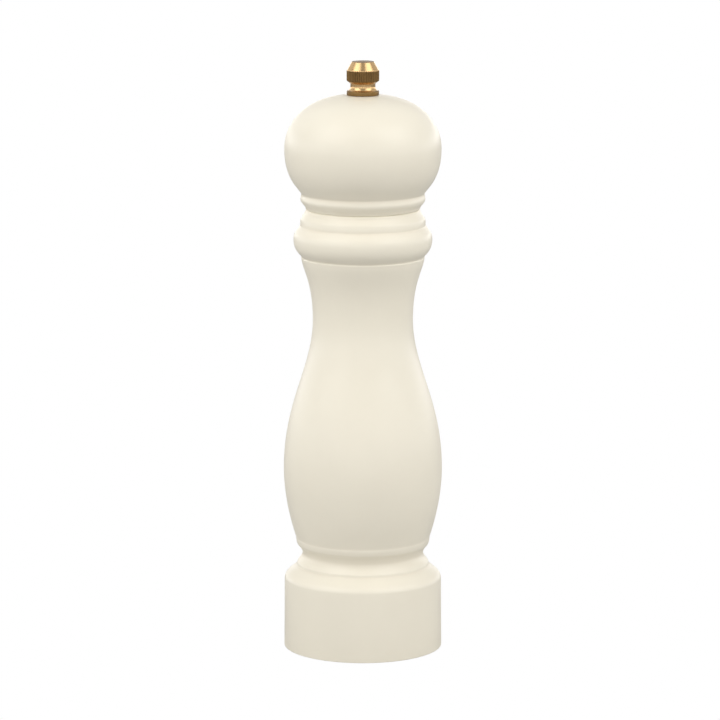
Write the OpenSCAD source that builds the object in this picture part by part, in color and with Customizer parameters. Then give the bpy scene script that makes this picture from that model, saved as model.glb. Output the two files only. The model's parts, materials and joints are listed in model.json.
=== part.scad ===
// Turned wooden pepper mill with a cone burr mechanism and a brass grind knob.
// Millimetres, +Z up. The origin is the centre of the foot, on the table.

/* [Body outline] */
// Height of the body, from the table to the joint under the head
body_h = 165.4; // [140:0.2:200]
// Diameter of the foot at the table
foot_d = 59.1; // [54:0.1:72]
// How much the foot narrows up to the top of its straight wall, on the diameter
foot_taper = 0.4; // [0:0.1:1]
// Height of the straight wall of the foot
foot_wall_h = 25.8; // [20:0.2:31]
// Height of the rounded shoulder above the straight wall
shoulder_h = 5.4; // [4:0.2:8]
// Width of the rounded shoulder, measured inwards
shoulder_w = 4.4; // [2.5:0.1:5]
// Height of the small step above the shoulder
step_h = 0.7; // [0.3:0.1:1.2]
// Width of the small step above the shoulder
step_w = 0.35; // [0.1:0.05:0.6]
// Diameter at the bottom of the groove above the foot
groove_d = 45.2; // [42:0.2:55]
// Height of the groove above the top of the shoulder
groove_rise = 4.4; // [3.5:0.1:5.5]
// Diameter of the lip between the groove and the belly
lip_d = 48.8; // [46:0.2:60]
// Height of the lip above the groove
lip_rise = 4.7; // [4:0.1:6]
// Diameter of the belly
belly_d = 59.1; // [50:0.1:72]
// Height of the widest part of the belly
belly_z = 67.8; // [60:0.2:83]
// Diameter of the waist
waist_d = 37.2; // [36:0.1:46]
// Drop from the joint down to the waist
waist_drop = 41.3; // [34:0.2:48]
// Diameter of the neck edge under the collar
neck_d = 45.6; // [43:0.2:50]
// Drop from the joint down to the neck edge
neck_drop = 17.6; // [16.8:0.1:21]
// Diameter of the collar
collar_d = 51.4; // [49:0.1:60]
// Drop from the joint down to the middle of the collar
collar_drop = 11; // [10.6:0.1:12]
// Diameter of the bead above the collar
top_bead_d = 46.3; // [44:0.1:48]
// Drop from the joint down to the crease over the collar
top_bead_drop = 6; // [5.4:0.1:6.4]
// Diameter at the joint between the body and the head
joint_d = 42.5; // [40:0.1:44]
// Radius of the rounding on the lower edge of the foot
foot_round = 0.4; // [0.2:0.1:1]

/* [Head outline] */
// Height of the head above the joint
head_h = 42.2; // [38:0.2:51]
// Diameter of the head
head_d = 58; // [50:0.1:70]
// Height of the widest part of the head above the joint
head_wide_rise = 22.3; // [19:0.1:25]
// Diameter of the bead under the head
head_bead_d = 46.2; // [44:0.1:48]
// Height of that bead above the joint
head_bead_rise = 3.8; // [3.4:0.1:4.4]
// Diameter of the crease between that bead and the ball of the head
crease_d = 45.6; // [43:0.1:47]
// Height of the crease above the joint
crease_rise = 5.8; // [5:0.1:6.5]
// Radius of the rounding on the tenon's lower edge
edge_round = 1; // [0.5:0.1:1.5]

/* [Hollow] */
// Diameter of the bore that holds the peppercorns
hopper_d = 27; // [22:0.2:29]
// Width of the ledge between the bore and the head's socket over it
socket_ledge = 2.5; // [1.5:0.1:3.5]
// Length of the tenon under the head
tenon_h = 7.5; // [6:0.1:10]
// Gap around the tenon in its socket, on the radius
socket_gap = 0.3; // [0.2:0.05:0.5]
// Space left under the drive plate's screws
socket_floor_gap = 0.8; // [0.5:0.1:2]

/* [Shaft] */
// Width of the square drive shaft, across its flats
shaft_w = 6; // [5:0.1:7.2]
// Gap between the shaft and each side of the square holes it turns
square_gap = 0.1; // [0.05:0.01:0.2]
// Gap between the shaft's corners and the round holes it runs in
corner_gap = 0.35; // [0.3:0.05:0.5]
// Outer diameter of the thread on the top of the shaft
thread_d = 5; // [4:0.1:6]
// Gap between the thread and the bore of the knob, on the radius
thread_gap = 0.1; // [0.05:0.01:0.1]
// Length of the thread
thread_len = 14; // [12:0.2:17]
// Diameter of the pilot on the bottom of the shaft
pilot_d = 4; // [3.4:0.1:4.8]
// Height of the pilot's end above the table
pilot_z = 1.4; // [1.3:0.1:1.7]

/* [Knob] */
// Diameter of the washer that the knob sits on
washer_d = 11.9; // [10:0.1:14]
// Thickness of that washer
washer_t = 1.7; // [1.4:0.1:2.1]
// Height of the knob above the washer
knob_h = 10.7; // [10:0.1:13]
// Diameter of the gripped band of the knob
knob_d = 12; // [11:0.1:14.5]
// Diameter of the flat top of the knob
knob_top_d = 8.2; // [7:0.1:9.8]
// Height of the cone over the gripped band
knob_cone_h = 3.3; // [2.7:0.1:4]
// Height of the gripped band
knob_band_h = 3.7; // [3:0.1:4.5]
// Diameter of the neck of the knob
knob_neck_d = 9.2; // [8.6:0.1:10.5]
// Wall left over the end of the knob's bore
knob_roof = 2; // [1.6:0.1:2.4]
// Number of grooves around the gripped band
knurl_count = 48; // [24:1:60]
// Depth of those grooves
knurl_depth = 0.22; // [0.15:0.01:0.3]

/* [Burrs] */
// Outer diameter of the ring burr
ring_burr_d = 31; // [28:0.2:37]
// Height of the ring burr
ring_burr_h = 16; // [14:0.2:19]
// Wall of the ring burr at its lower edge
mouth_wall = 3; // [2.5:0.1:3.4]
// Wall of the ring burr at its throat
throat_wall = 4.8; // [4.4:0.1:5.4]
// Wall of the ring burr at its top
top_wall = 3.5; // [3:0.1:4]
// Height of the grinding cone at the bottom of the ring burr
grind_h = 4; // [3.4:0.1:4.6]
// Gap between the burrs at rest, on the radius
burr_gap = 0.42; // [0.4:0.01:0.6]
// Height of the male burr
male_burr_h = 7.4; // [6.4:0.1:8]
// How far the male burr stands above the lower edge of the ring burr
male_lift = 0.6; // [0.5:0.1:0.8]
// Number of cutting grooves in each burr
burr_teeth = 18; // [12:1:20]
// Depth of the grooves in the burrs
tooth_depth = 0.7; // [0.4:0.1:0.8]
// Lean of the burrs' grooves, in degrees
tooth_lean = 22; // [10:1:30]

/* [Mechanism] */
// Thickness of the stamped base ring
base_ring_t = 1.2; // [1:0.1:1.5]
// Width of the base ring outside its screws' heads
base_ring_edge = 0.4; // [0.2:0.1:1]
// How far the base ring's hole stands back from the mouth of the ring burr
mouth_gap = 0.7; // [0.5:0.1:1]
// Depth of the recess in the foot, up to the top of the base ring
recess_h = 6; // [5.8:0.1:7]
// Gap around the base ring and the ring burr in their seats, on the radius
seat_gap = 0.1; // [0.05:0.05:0.3]
// Width of the retaining bar
bar_w = 8; // [7:0.1:9.6]
// Thickness of the retaining bar
bar_t = 1.2; // [1:0.1:1.3]
// Wood left between the ring burr's seat and the screws beside it
screw_wall = 2.1; // [1.5:0.1:2.5]
// Diameter of the wood screws' shanks
screw_d = 2.6; // [2.2:0.1:3]
// Length of the wood screws under their heads
screw_len = 11; // [9:0.2:13]
// Diameter of the wood screws' heads
screw_head_d = 5.2; // [4.6:0.1:5.4]
// Height of the wood screws' heads
screw_head_h = 1.5; // [1.3:0.1:1.7]
// Thickness of the bridge across the ring burr
bridge_t = 2; // [1.6:0.1:2.4]
// Width of the bridge's two arms
bridge_w = 7; // [5:0.1:8]
// Wall of the bridge around the hole for the shaft
hub_wall = 1.9; // [1.5:0.1:2.2]
// Diameter of the rivets' shanks
rivet_d = 2; // [1.6:0.1:2.2]
// How much wider a rivet's sunk head is than its shank, on the radius
rivet_sink = 0.8; // [0.5:0.1:0.9]
// Length of the rivets' shanks in the ring burr
rivet_len = 4; // [3:0.1:5]
// Distance of the rivets from the outside of the ring burr
rivet_inset = 2.2; // [2:0.1:2.3]
// Thickness of the washers and the spring cup
thin_washer_t = 0.8; // [0.6:0.1:0.9]
// Gap between the shaft's corners and the burr spring
spring_gap = 0.55; // [0.4:0.05:0.8]
// Diameter of the spring's wire
wire_d = 1; // [0.8:0.05:1.2]
// Number of turns in the spring
spring_turns = 3.5; // [3:0.5:4]
// Width of the clip at the end of the shaft, beyond the shaft's flats
clip_lip = 1.8; // [1.5:0.1:2.2]
// Depth of the groove that the clip sits in
clip_groove = 0.6; // [0.4:0.1:0.8]
// Thickness of that clip
clip_t = 0.7; // [0.6:0.1:0.8]

/* [Drive plate] */
// Distance of the drive plate's edge from the side of the tenon
plate_inset = 2.2; // [1.5:0.1:3]
// Thickness of the drive plate
plate_t = 1.2; // [1:0.1:1.6]

/* [Hidden] */
$fn = 96;
// Overlap that makes a cutting tool pass cleanly through a face
cut = 0.5;

// Heights of the mechanism, from the table up
ring_z = recess_h - base_ring_t;
burr_z = recess_h;
bridge_z = burr_z + ring_burr_h;
bridge_top_z = bridge_z + bridge_t;
male_z = burr_z + male_lift;
male_top_z = male_z + male_burr_h;
cup_top_z = male_top_z + thin_washer_t;
thrust_z = bridge_z - thin_washer_t;
burr_washer_z = male_z - thin_washer_t;
clip_z = burr_washer_z - clip_t;
// Heights of the head, its tenon and the drive plate
head_top_z = body_h + head_h;
tenon_z = body_h - tenon_h;
plate_z = tenon_z - plate_t;
socket_z = plate_z - screw_head_h - socket_floor_gap;
// Heights of the knob and the top of the shaft
knob_z = head_top_z + washer_t;
knob_bore_end_z = knob_z + knob_h - knob_roof;
// The shaft may rise this far before it meets the end of the knob's bore
shaft_rise = 1.3;
shaft_top_z = knob_bore_end_z - shaft_rise;
thread_z = shaft_top_z - thread_len;
// Half widths
corner_r = shaft_w / sqrt(2);
shaft_hole_r = corner_r + corner_gap;
square_hole_w = shaft_w + 2 * square_gap;
hopper_r = hopper_d / 2;
socket_r = hopper_r + socket_ledge;
tenon_r = socket_r - socket_gap;
plate_r = tenon_r - plate_inset;
// The drive plate's screws stand midway between its square hole and its edge
plate_screw_r = (square_hole_w / sqrt(2) + plate_r) / 2;
ring_burr_r = ring_burr_d / 2;
seat_r = ring_burr_r + seat_gap;
mouth_r = ring_burr_r - mouth_wall;
throat_r = ring_burr_r - throat_wall;
ring_top_r = ring_burr_r - top_wall;
rivet_r = ring_burr_r - rivet_inset;
grind_slope = (mouth_r - throat_r) / grind_h;
screw_circle_r = seat_r + screw_wall + screw_d / 2;
base_ring_r = screw_circle_r + screw_head_d / 2 + base_ring_edge;
recess_r = base_ring_r + seat_gap;
spring_r = corner_r + spring_gap + wire_d / 2;
// How far the washer and the cup's floor reach past the spring, and the cup's rim
spring_play = 0.4;
thrust_washer_r = spring_r + wire_d / 2 + spring_play;
cup_rim_t = 0.5;
cup_rim_h = 0.6;
spring_cup_r = thrust_washer_r + cup_rim_t;
// The male burr's top stands back under the cup by this much
cup_overhang = 0.2;
male_top_r = spring_cup_r - cup_overhang;
clip_r = shaft_w / 2 + clip_lip;
clip_groove_r = shaft_w / 2 - clip_groove;
// The washer over the clip reaches past it by this much
clip_cover = 0.5;
// Length of the wood screws' points
screw_tip = 2;
// The round collar that holds the clip on the shaft
clip_shoulder_h = 0.8;
// The retaining bar lies just above the pilot's end, and its ends rise to the base ring
pilot_reach = 0.3;
bar_crank_inset = 1.5;
bar_end_gap = 0.3;
bar_end_z = ring_z - bar_t;
bar_z = pilot_z + pilot_reach;
bar_crank_r = mouth_r - bar_crank_inset;
bar_r = recess_r - bar_end_gap;

// ---------------------------------------------------------------- curves

// Points of a curve that leaves a along the arm da and reaches b along the arm db.
// The start point a itself is left out, so that curves can follow one another.
function bow(a, da, b, db, steps = 8) = [
    for (i = [1 : steps])
        let (t = i / steps, s = 1 - t)
        s^3 * a + 3 * s^2 * t * (a + da) + 3 * s * t^2 * (b - db) + t^3 * b
];

// Points of a quarter round from a, where it runs level, to b, where it is upright
function quarter(a, b, steps = 6) = [
    for (i = [1 : steps])
        let (w = 90 * i / steps)
        [a[0] + (b[0] - a[0]) * sin(w), b[1] + (a[1] - b[1]) * cos(w)]
];

// The body's outer outline, from the foot's rounded edge to the joint
function body_outline() =
    let (
        foot_r = foot_d / 2,
        wall = [foot_r - foot_taper / 2, foot_wall_h],
        step = [wall[0] - shoulder_w, foot_wall_h + shoulder_h],
        ledge = step + [-step_w, step_h],
        groove = [groove_d / 2, step[1] + groove_rise],
        lip = [lip_d / 2, groove[1] + lip_rise],
        belly_foot = lip + [0.6, 1.4],
        belly = [belly_d / 2, belly_z],
        waist = [waist_d / 2, body_h - waist_drop],
        neck = [neck_d / 2, body_h - neck_drop],
        under_collar = neck + [0.7, 0.9],
        collar = [collar_d / 2, body_h - collar_drop],
        over_collar = [top_bead_d / 2, body_h - top_bead_drop],
        bead = over_collar + [-0.1, 2.3],
        joint = [joint_d / 2, body_h]
    )
    concat(
        [[foot_r - foot_round, 0]],
        quarter([foot_r - foot_round, 0], [foot_r, foot_round]),
        [wall],
        bow(wall, [0, 2.4], step, [-1.5, 2.4], 10),
        bow(step, [-0.05, step_h * 0.6], ledge, [-step_w * 0.8, 0.1], 3),
        bow(ledge, [-0.8, 1.2], groove, [-0.1, 1.6], 8),
        bow(groove, [0.1, 1.3], lip + [0, -1.4], [0.9, 0.9], 6),
        bow(lip + [0, -1.4], [0.45, 0.5], belly_foot, [-0.1, 0.6], 6),
        bow(belly_foot, [2.5, 7.3], belly, [0, 9.2], 14),
        bow(belly, [0, 25.6], waist, [0, 18], 26),
        bow(waist, [0, 13.8], neck + [0, -0.9], [0.5, 4.2], 14),
        bow(neck + [0, -0.9], [0.25, 0.6], neck, [0.1, 0.5], 3),
        bow(neck, [0.3, 0.3], under_collar, [0.5, 0.3], 3),
        bow(under_collar, [1.2, 1.3], collar, [0, 3.1], 8),
        bow(collar, [0, 2.9], over_collar, [-0.6, 1.3], 8),
        bow(over_collar, [0.1, 0.5], bead, [-0.15, 0.7], 4),
        bow(bead, [-0.2, 1.2], joint, [0.2, 1.5], 6)
    );

// The head's outer outline, from the joint to the edge of the hole at its top
function head_outline() =
    let (
        joint = [joint_d / 2, body_h],
        bead = [head_bead_d / 2, body_h + head_bead_rise],
        crease = [crease_d / 2, body_h + crease_rise],
        wide = [head_d / 2, body_h + head_wide_rise],
        crown = [shaft_hole_r, head_top_z]
    )
    concat(
        [joint],
        bow(joint, [0.5, 1.3], bead, [0, 1.8], 8),
        bow(bead, [0, 0.6], crease, [0.1, 0.5], 4),
        bow(crease, [1, 2.2], wide, [0, 11.2], 14),
        bow(wide, [0, 12.8], crown, [-12.6, 0], 26)
    );

// ---------------------------------------------------------------- shared shapes

// A square hole along Z, cut through a piece between two heights
module square_hole(z0, z1) {
    translate([0, 0, (z0 + z1) / 2])
        cube([square_hole_w, square_hole_w, z1 - z0], center = true);
}

// A ring from z0 to z1, between two radii
module ring(r_in, r_out, z0, z1) {
    rotate_extrude()
        translate([r_in, z0])
            square([r_out - r_in, z1 - z0]);
}

// A wood screw that points up, with a domed head under z
module wood_screw(z) {
    head_r = screw_head_d / 2;
    // The flat middle of the head, and how far its rounded edge comes down
    flat_r = head_r * 0.6;
    dome = screw_head_h * 0.45;
    translate([0, 0, z])
        rotate_extrude($fn = 32)
            polygon(concat(
                [[0, -screw_head_h], [flat_r, -screw_head_h]],
                bow([flat_r, -screw_head_h], [0.5, 0],
                    [head_r, dome - screw_head_h], [0, 0.3], 4),
                [
                    [head_r, 0], [screw_d / 2, 0],
                    [screw_d / 2, screw_len - screw_tip], [0, screw_len]
                ]
            ));
}

// The space that a wood screw takes in the piece it is driven into
module screw_hole(z) {
    translate([0, 0, z])
        rotate_extrude($fn = 32)
            polygon([
                [0, -cut], [screw_d / 2, -cut],
                [screw_d / 2, screw_len - screw_tip], [0, screw_len]
            ]);
}

// Copies of the children on a circle, the first one at the angle start
module around(radius, count, start = 0) {
    for (i = [0 : count - 1])
        rotate(start + 360 * i / count)
            translate([radius, 0, 0])
                children();
}

// Slanting grooves cut into a grinding cone whose radius is r0 at height z0.
// Each is a square bar, turned onto its edge, that follows the cone's side past its end.
module cone_grooves(z0, r0, lean) {
    side = tooth_depth * sqrt(2);
    length = grind_h * 1.2;
    for (i = [0 : burr_teeth - 1])
        rotate(360 * i / burr_teeth)
            translate([r0, 0, z0])
                rotate([0, -atan(grind_slope), 0])
                    rotate([lean, 0, 0])
                        rotate(45)
                            translate([-side / 2, -side / 2, -length])
                                cube([side, side, 2 * length]);
}

// ---------------------------------------------------------------- wood

module body() {
    color("ivory")
        difference() {
            rotate_extrude()
                polygon(concat(
                    body_outline(),
                    [
                        [socket_r, body_h],
                        [socket_r, socket_z],
                        [hopper_r, socket_z],
                        [hopper_r, bridge_top_z],
                        [seat_r, bridge_top_z],
                        [seat_r, recess_h],
                        [recess_r, recess_h],
                        [recess_r, 0]
                    ]
                ));
            around(screw_circle_r, 2, 90)
                screw_hole(ring_z);
            around(screw_circle_r, 2)
                screw_hole(bar_end_z);
        }
}

module head() {
    color("ivory")
        difference() {
            rotate_extrude()
                polygon(concat(
                    head_outline(),
                    [
                        [shaft_hole_r, tenon_z],
                        [tenon_r - edge_round, tenon_z]
                    ],
                    quarter([tenon_r - edge_round, tenon_z],
                            [tenon_r, tenon_z + edge_round], 4),
                    [[tenon_r, body_h]]
                ));
            around(plate_screw_r, 2, 90)
                screw_hole(plate_z);
        }
}

// ---------------------------------------------------------------- knob

module knob_washer() {
    bevel = 0.35;
    r = washer_d / 2;
    hole_r = thread_d / 2 + corner_gap;
    color("goldenrod")
        translate([0, 0, head_top_z])
            rotate_extrude()
                polygon([
                    [hole_r, 0], [r - bevel, 0], [r, bevel],
                    [r, washer_t - bevel], [r - bevel, washer_t],
                    [hole_r, washer_t]
                ]);
}

module adjusting_knob() {
    r = knob_d / 2;
    neck_r = knob_neck_d / 2;
    top_r = knob_top_d / 2;
    bore_r = thread_d / 2 + thread_gap;
    // The gripped band starts over the neck, and the cone starts over the band
    cone_z = knob_h - knob_cone_h;
    band_z = cone_z - knob_band_h;
    // The neck flares out at its foot, and slopes out under the band
    flare = 0.9;
    chamfer = 1.1;
    // Width and height of the rounding around the flat top
    edge = [0.25, 0.2];
    color("goldenrod")
        difference() {
            translate([0, 0, knob_z])
                rotate_extrude()
                    polygon(concat(
                        [[bore_r, 0], [neck_r + flare, 0]],
                        bow([neck_r + flare, 0], [-0.5, 0.2],
                            [neck_r, band_z * 0.4], [0, 0.5], 6),
                        [
                            [neck_r, band_z - chamfer],
                            [r, band_z],
                            [r, cone_z],
                            [top_r + edge[0], knob_h - edge[1]],
                            [top_r, knob_h],
                            [0, knob_h],
                            [0, knob_h - knob_roof],
                            [bore_r, knob_h - knob_roof]
                        ]
                    ));
            knurl_grooves(r, knob_z + band_z - cut, knob_z + cone_z + cut);
        }
}

// Upright V grooves around the gripped band of the knob, which run out past its edges
module knurl_grooves(r, z0, z1) {
    side = knurl_depth * sqrt(2);
    for (i = [0 : knurl_count - 1])
        rotate(360 * (i + 0.5) / knurl_count)
            translate([r, 0, z0])
                rotate(45)
                    translate([-side / 2, -side / 2, 0])
                        cube([side, side, z1 - z0]);
}

// ---------------------------------------------------------------- shaft

module drive_shaft() {
    bevel = 0.6;
    pilot_bevel = 0.3;
    thread_r = thread_d / 2;
    pilot_r = pilot_d / 2;
    round_r = shaft_w / 2;
    color("silver")
        union() {
            translate([-shaft_w / 2, -shaft_w / 2, burr_washer_z])
                cube([shaft_w, shaft_w, thread_z - burr_washer_z]);
            rotate_extrude()
                polygon([
                    [0, thread_z], [thread_r, thread_z],
                    [thread_r, shaft_top_z - bevel],
                    [thread_r - bevel, shaft_top_z], [0, shaft_top_z]
                ]);
            rotate_extrude()
                polygon([
                    [0, pilot_z], [pilot_r - pilot_bevel, pilot_z],
                    [pilot_r, pilot_z + pilot_bevel],
                    [pilot_r, clip_z - clip_shoulder_h],
                    [round_r, clip_z - clip_shoulder_h], [round_r, clip_z],
                    [clip_groove_r, clip_z], [clip_groove_r, burr_washer_z],
                    [0, burr_washer_z]
                ]);
        }
}

module shaft_clip() {
    // Narrower than the groove's floor, so that the clip stays on
    mouth = clip_groove_r * 1.55;
    color("dimgray")
        difference() {
            ring(clip_groove_r, clip_r, clip_z, burr_washer_z);
            translate([0, -mouth / 2, clip_z - cut])
                cube([2 * clip_r, mouth, clip_t + 2 * cut]);
        }
}

// ---------------------------------------------------------------- drive plate

module drive_plate() {
    color("silver")
        difference() {
            translate([0, 0, plate_z])
                cylinder(r = plate_r, h = plate_t);
            square_hole(plate_z - cut, tenon_z + cut);
            around(plate_screw_r, 2, 90)
                screw_hole(plate_z);
        }
}

module drive_plate_screws() {
    color("dimgray")
        around(plate_screw_r, 2, 90)
            wood_screw(plate_z);
}

// ---------------------------------------------------------------- burrs

module ring_burr() {
    color("slategray")
        difference() {
            translate([0, 0, burr_z])
                rotate_extrude()
                    polygon([
                        [mouth_r, 0], [ring_burr_r, 0],
                        [ring_burr_r, ring_burr_h],
                        [ring_top_r, ring_burr_h],
                        [throat_r, grind_h]
                    ]);
            cone_grooves(burr_z, mouth_r, -tooth_lean);
            around(rivet_r, 2)
                rivet_hole();
        }
}

module male_burr() {
    foot_r = mouth_r - grind_slope * male_lift - burr_gap;
    cone_top_r = throat_r - burr_gap;
    cone_h = grind_h - male_lift;
    color("slategray")
        difference() {
            translate([0, 0, male_z])
                rotate_extrude()
                    polygon([
                        [0, 0], [foot_r, 0], [cone_top_r, cone_h],
                        [male_top_r, male_burr_h], [0, male_burr_h]
                    ]);
            cone_grooves(male_z, foot_r, tooth_lean);
            square_hole(male_z - cut, male_top_z + cut);
        }
}

// ---------------------------------------------------------------- bridge

module bridge() {
    color("gray")
        difference() {
            union() {
                translate([0, 0, bridge_z])
                    cylinder(r = shaft_hole_r + hub_wall, h = bridge_t);
                intersection() {
                    translate([-ring_burr_r, -bridge_w / 2, bridge_z])
                        cube([ring_burr_d, bridge_w, bridge_t]);
                    translate([0, 0, bridge_z])
                        cylinder(r = ring_burr_r, h = bridge_t);
                }
            }
            translate([0, 0, bridge_z - cut])
                cylinder(r = shaft_hole_r, h = bridge_t + 2 * cut);
            around(rivet_r, 2)
                rivet_hole();
        }
}

// A flush rivet, turned about Z: a sunk head in the bridge, a shank in the burr
module rivet() {
    rotate_extrude($fn = 32)
        polygon([
            [0, bridge_z - rivet_len], [rivet_d / 2, bridge_z - rivet_len],
            [rivet_d / 2, bridge_top_z - rivet_sink],
            [rivet_d / 2 + rivet_sink, bridge_top_z],
            [0, bridge_top_z]
        ]);
}

// The space that a rivet takes, open at the top
module rivet_hole() {
    rivet();
    translate([0, 0, bridge_top_z])
        cylinder(r = rivet_d / 2 + rivet_sink, h = cut, $fn = 32);
}

module bridge_rivets() {
    color("silver")
        around(rivet_r, 2)
            rivet();
}

// ---------------------------------------------------------------- spring and washers

module thrust_washer() {
    color("silver")
        difference() {
            translate([0, 0, thrust_z])
                cylinder(r = thrust_washer_r, h = thin_washer_t);
            square_hole(thrust_z - cut, bridge_z + cut);
        }
}

module burr_washer() {
    color("silver")
        difference() {
            translate([0, 0, burr_washer_z])
                cylinder(r = clip_r + clip_cover, h = thin_washer_t);
            square_hole(burr_washer_z - cut, male_z + cut);
        }
}

// A shallow cup that centres the spring on the male burr
module spring_cup() {
    r = spring_cup_r;
    color("silver")
        difference() {
            translate([0, 0, male_top_z])
                rotate_extrude()
                    polygon([
                        [0, 0], [r, 0], [r, thin_washer_t + cup_rim_h],
                        [r - cup_rim_t, thin_washer_t + cup_rim_h],
                        [r - cup_rim_t, thin_washer_t], [0, thin_washer_t]
                    ]);
            square_hole(male_top_z - cut, cup_top_z + cut);
        }
}

// The spring's wire, carried along a helix between the cup and the thrust washer
module burr_spring() {
    sides = 10;
    per_turn = 28;
    rings = spring_turns * per_turn;
    wire_r = wire_d / 2;
    play = 0.05;
    z0 = cup_top_z + wire_r + play;
    rise = thrust_z - wire_r - play - z0;
    points = [
        for (i = [0 : rings])
            let (turn = 360 * i / per_turn, mid_z = z0 + rise * i / rings)
            for (k = [0 : sides - 1])
                let (w = 360 * k / sides, r = spring_r + wire_r * cos(w))
                [r * cos(turn), r * sin(turn), mid_z + wire_r * sin(w)]
    ];
    tube = [
        for (i = [0 : rings - 1], k = [0 : sides - 1])
            let (next = (k + 1) % sides)
            [
                i * sides + k, i * sides + next,
                (i + 1) * sides + next, (i + 1) * sides + k
            ]
    ];
    start_cap = [[for (k = [sides - 1 : -1 : 0]) k]];
    end_cap = [[for (k = [0 : sides - 1]) rings * sides + k]];
    color("silver")
        polyhedron(points = points, faces = concat(start_cap, tube, end_cap));
}

// ---------------------------------------------------------------- base

module base_ring() {
    color("silver")
        difference() {
            ring(mouth_r + mouth_gap, base_ring_r, ring_z, recess_h);
            around(screw_circle_r, 2, 90)
                screw_hole(ring_z);
            around(screw_circle_r, 2)
                screw_hole(bar_end_z);
        }
}

module base_ring_screws() {
    color("dimgray")
        around(screw_circle_r, 2, 90)
            wood_screw(ring_z);
}

// A flat bar across the recess, cranked up at both ends to lie against the base ring
module retaining_bar() {
    crank = bar_end_z - bar_z;
    // The upper face turns a little sooner, so that the bar keeps its thickness
    sooner = bar_t * 0.4;
    side = [
        [0, 0], [bar_crank_r, 0], [bar_crank_r + crank, crank], [recess_r, crank],
        [recess_r, crank + bar_t], [bar_crank_r + crank - sooner, crank + bar_t],
        [bar_crank_r - sooner, bar_t], [0, bar_t]
    ];
    color("silver")
        difference() {
            intersection() {
                for (turn = [0, 180])
                    rotate(turn)
                        translate([0, bar_w / 2, bar_z])
                            rotate([90, 0, 0])
                                linear_extrude(bar_w)
                                    polygon(side);
                cylinder(r = bar_r, h = recess_h);
            }
            translate([0, 0, bar_z - cut])
                cylinder(r = pilot_d / 2 + square_gap, h = bar_t + 2 * cut);
            around(screw_circle_r, 2)
                screw_hole(bar_end_z);
        }
}

module retaining_bar_screws() {
    color("dimgray")
        around(screw_circle_r, 2)
            wood_screw(bar_end_z);
}

// ---------------------------------------------------------------- the nodes

body();
head();
knob_washer();
adjusting_knob();
drive_shaft();
drive_plate();
drive_plate_screws();
ring_burr();
bridge();
bridge_rivets();
thrust_washer();
burr_spring();
spring_cup();
male_burr();
burr_washer();
shaft_clip();
base_ring();
base_ring_screws();
retaining_bar();
retaining_bar_screws();
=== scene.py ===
"""A turned pepper mill: cream lacquered wood, a cone burr mill in its foot, a brass grind knob.

Sizes are in millimetres and become metres when a mesh is made.  Heights and widths that the
frame already holds are read from it; each class adds the sizes of its own curves and details.
"""
import sys
import json
import logging
import math
from collections.abc import Callable
from dataclasses import dataclass
from enum import Enum

import bpy
import numpy as np
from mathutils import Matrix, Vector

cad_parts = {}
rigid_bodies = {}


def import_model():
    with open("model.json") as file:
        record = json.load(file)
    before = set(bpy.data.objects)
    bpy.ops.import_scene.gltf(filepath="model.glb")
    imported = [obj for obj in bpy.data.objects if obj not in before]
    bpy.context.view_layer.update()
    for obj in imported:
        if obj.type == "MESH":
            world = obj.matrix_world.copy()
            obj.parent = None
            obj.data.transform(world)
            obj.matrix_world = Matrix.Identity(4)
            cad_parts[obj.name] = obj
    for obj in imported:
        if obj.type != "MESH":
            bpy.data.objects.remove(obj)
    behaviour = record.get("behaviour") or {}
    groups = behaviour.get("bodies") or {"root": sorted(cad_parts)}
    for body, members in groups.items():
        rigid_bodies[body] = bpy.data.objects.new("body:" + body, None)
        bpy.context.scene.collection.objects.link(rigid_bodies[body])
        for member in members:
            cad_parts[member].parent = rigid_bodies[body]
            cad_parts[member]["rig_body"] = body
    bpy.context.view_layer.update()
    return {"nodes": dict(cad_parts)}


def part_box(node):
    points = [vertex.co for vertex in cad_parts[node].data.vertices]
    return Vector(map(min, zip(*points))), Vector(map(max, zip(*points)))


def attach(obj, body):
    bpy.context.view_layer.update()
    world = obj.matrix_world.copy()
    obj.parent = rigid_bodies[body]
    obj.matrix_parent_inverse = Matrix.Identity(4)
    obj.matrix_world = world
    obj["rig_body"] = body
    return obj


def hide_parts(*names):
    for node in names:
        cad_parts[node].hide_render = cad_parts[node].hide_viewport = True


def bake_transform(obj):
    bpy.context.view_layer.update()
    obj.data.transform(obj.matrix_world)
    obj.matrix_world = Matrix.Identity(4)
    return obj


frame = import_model()
MM = 0.001
LOG = logging.getLogger("pepper_mill")
Array = np.ndarray
Outline = Callable[[Array], Array]
Lift = Callable[[Array, Array], Array]
Socket = bpy.types.NodeSocket
SIDE_SHARE = 0.45   # the most of a side that the rounding of one corner takes
FAN_PER_COLUMN = 16   # angles tried for each column when an outline is measured
UNIT = (0.0, 1.0)
NOISE_RANGE = (0.3, 0.7)   # where nearly all values of a noise lie
WOOD_CREASE = 50.0   # degrees past which an edge of the wood stays sharp
BURR_CREASE = 30.0   # the same for the burrs


class Slot(Enum):
    """The record's material slots."""

    LACQUER = "lacquer"
    BRASS = "brass"
    SHAFT = "shaft_steel"
    STAMPED = "stamped_steel"
    BURR = "burr_steel"
    SCREW = "screw_steel"
    SPRING = "spring_steel"


class Band(Enum):
    """Which of a piece's two finishes a row of faces wears."""

    FIRST = 0
    SECOND = 1


# --- places in the frame


def low(node: str) -> float:
    """Height of a node's lowest point, in millimetres."""
    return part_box(node)[0].z / MM


def high(node: str) -> float:
    """Height of a node's highest point, in millimetres."""
    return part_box(node)[1].z / MM


def half_width(node: str) -> float:
    """Half of a node's width along X, in millimetres."""
    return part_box(node)[1].x / MM


def reach(node: str) -> tuple[float, float, float]:
    """Heights of a node's lowest and highest points, and half its width, in millimetres."""
    return low(node), high(node), half_width(node)


# --- curves


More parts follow.
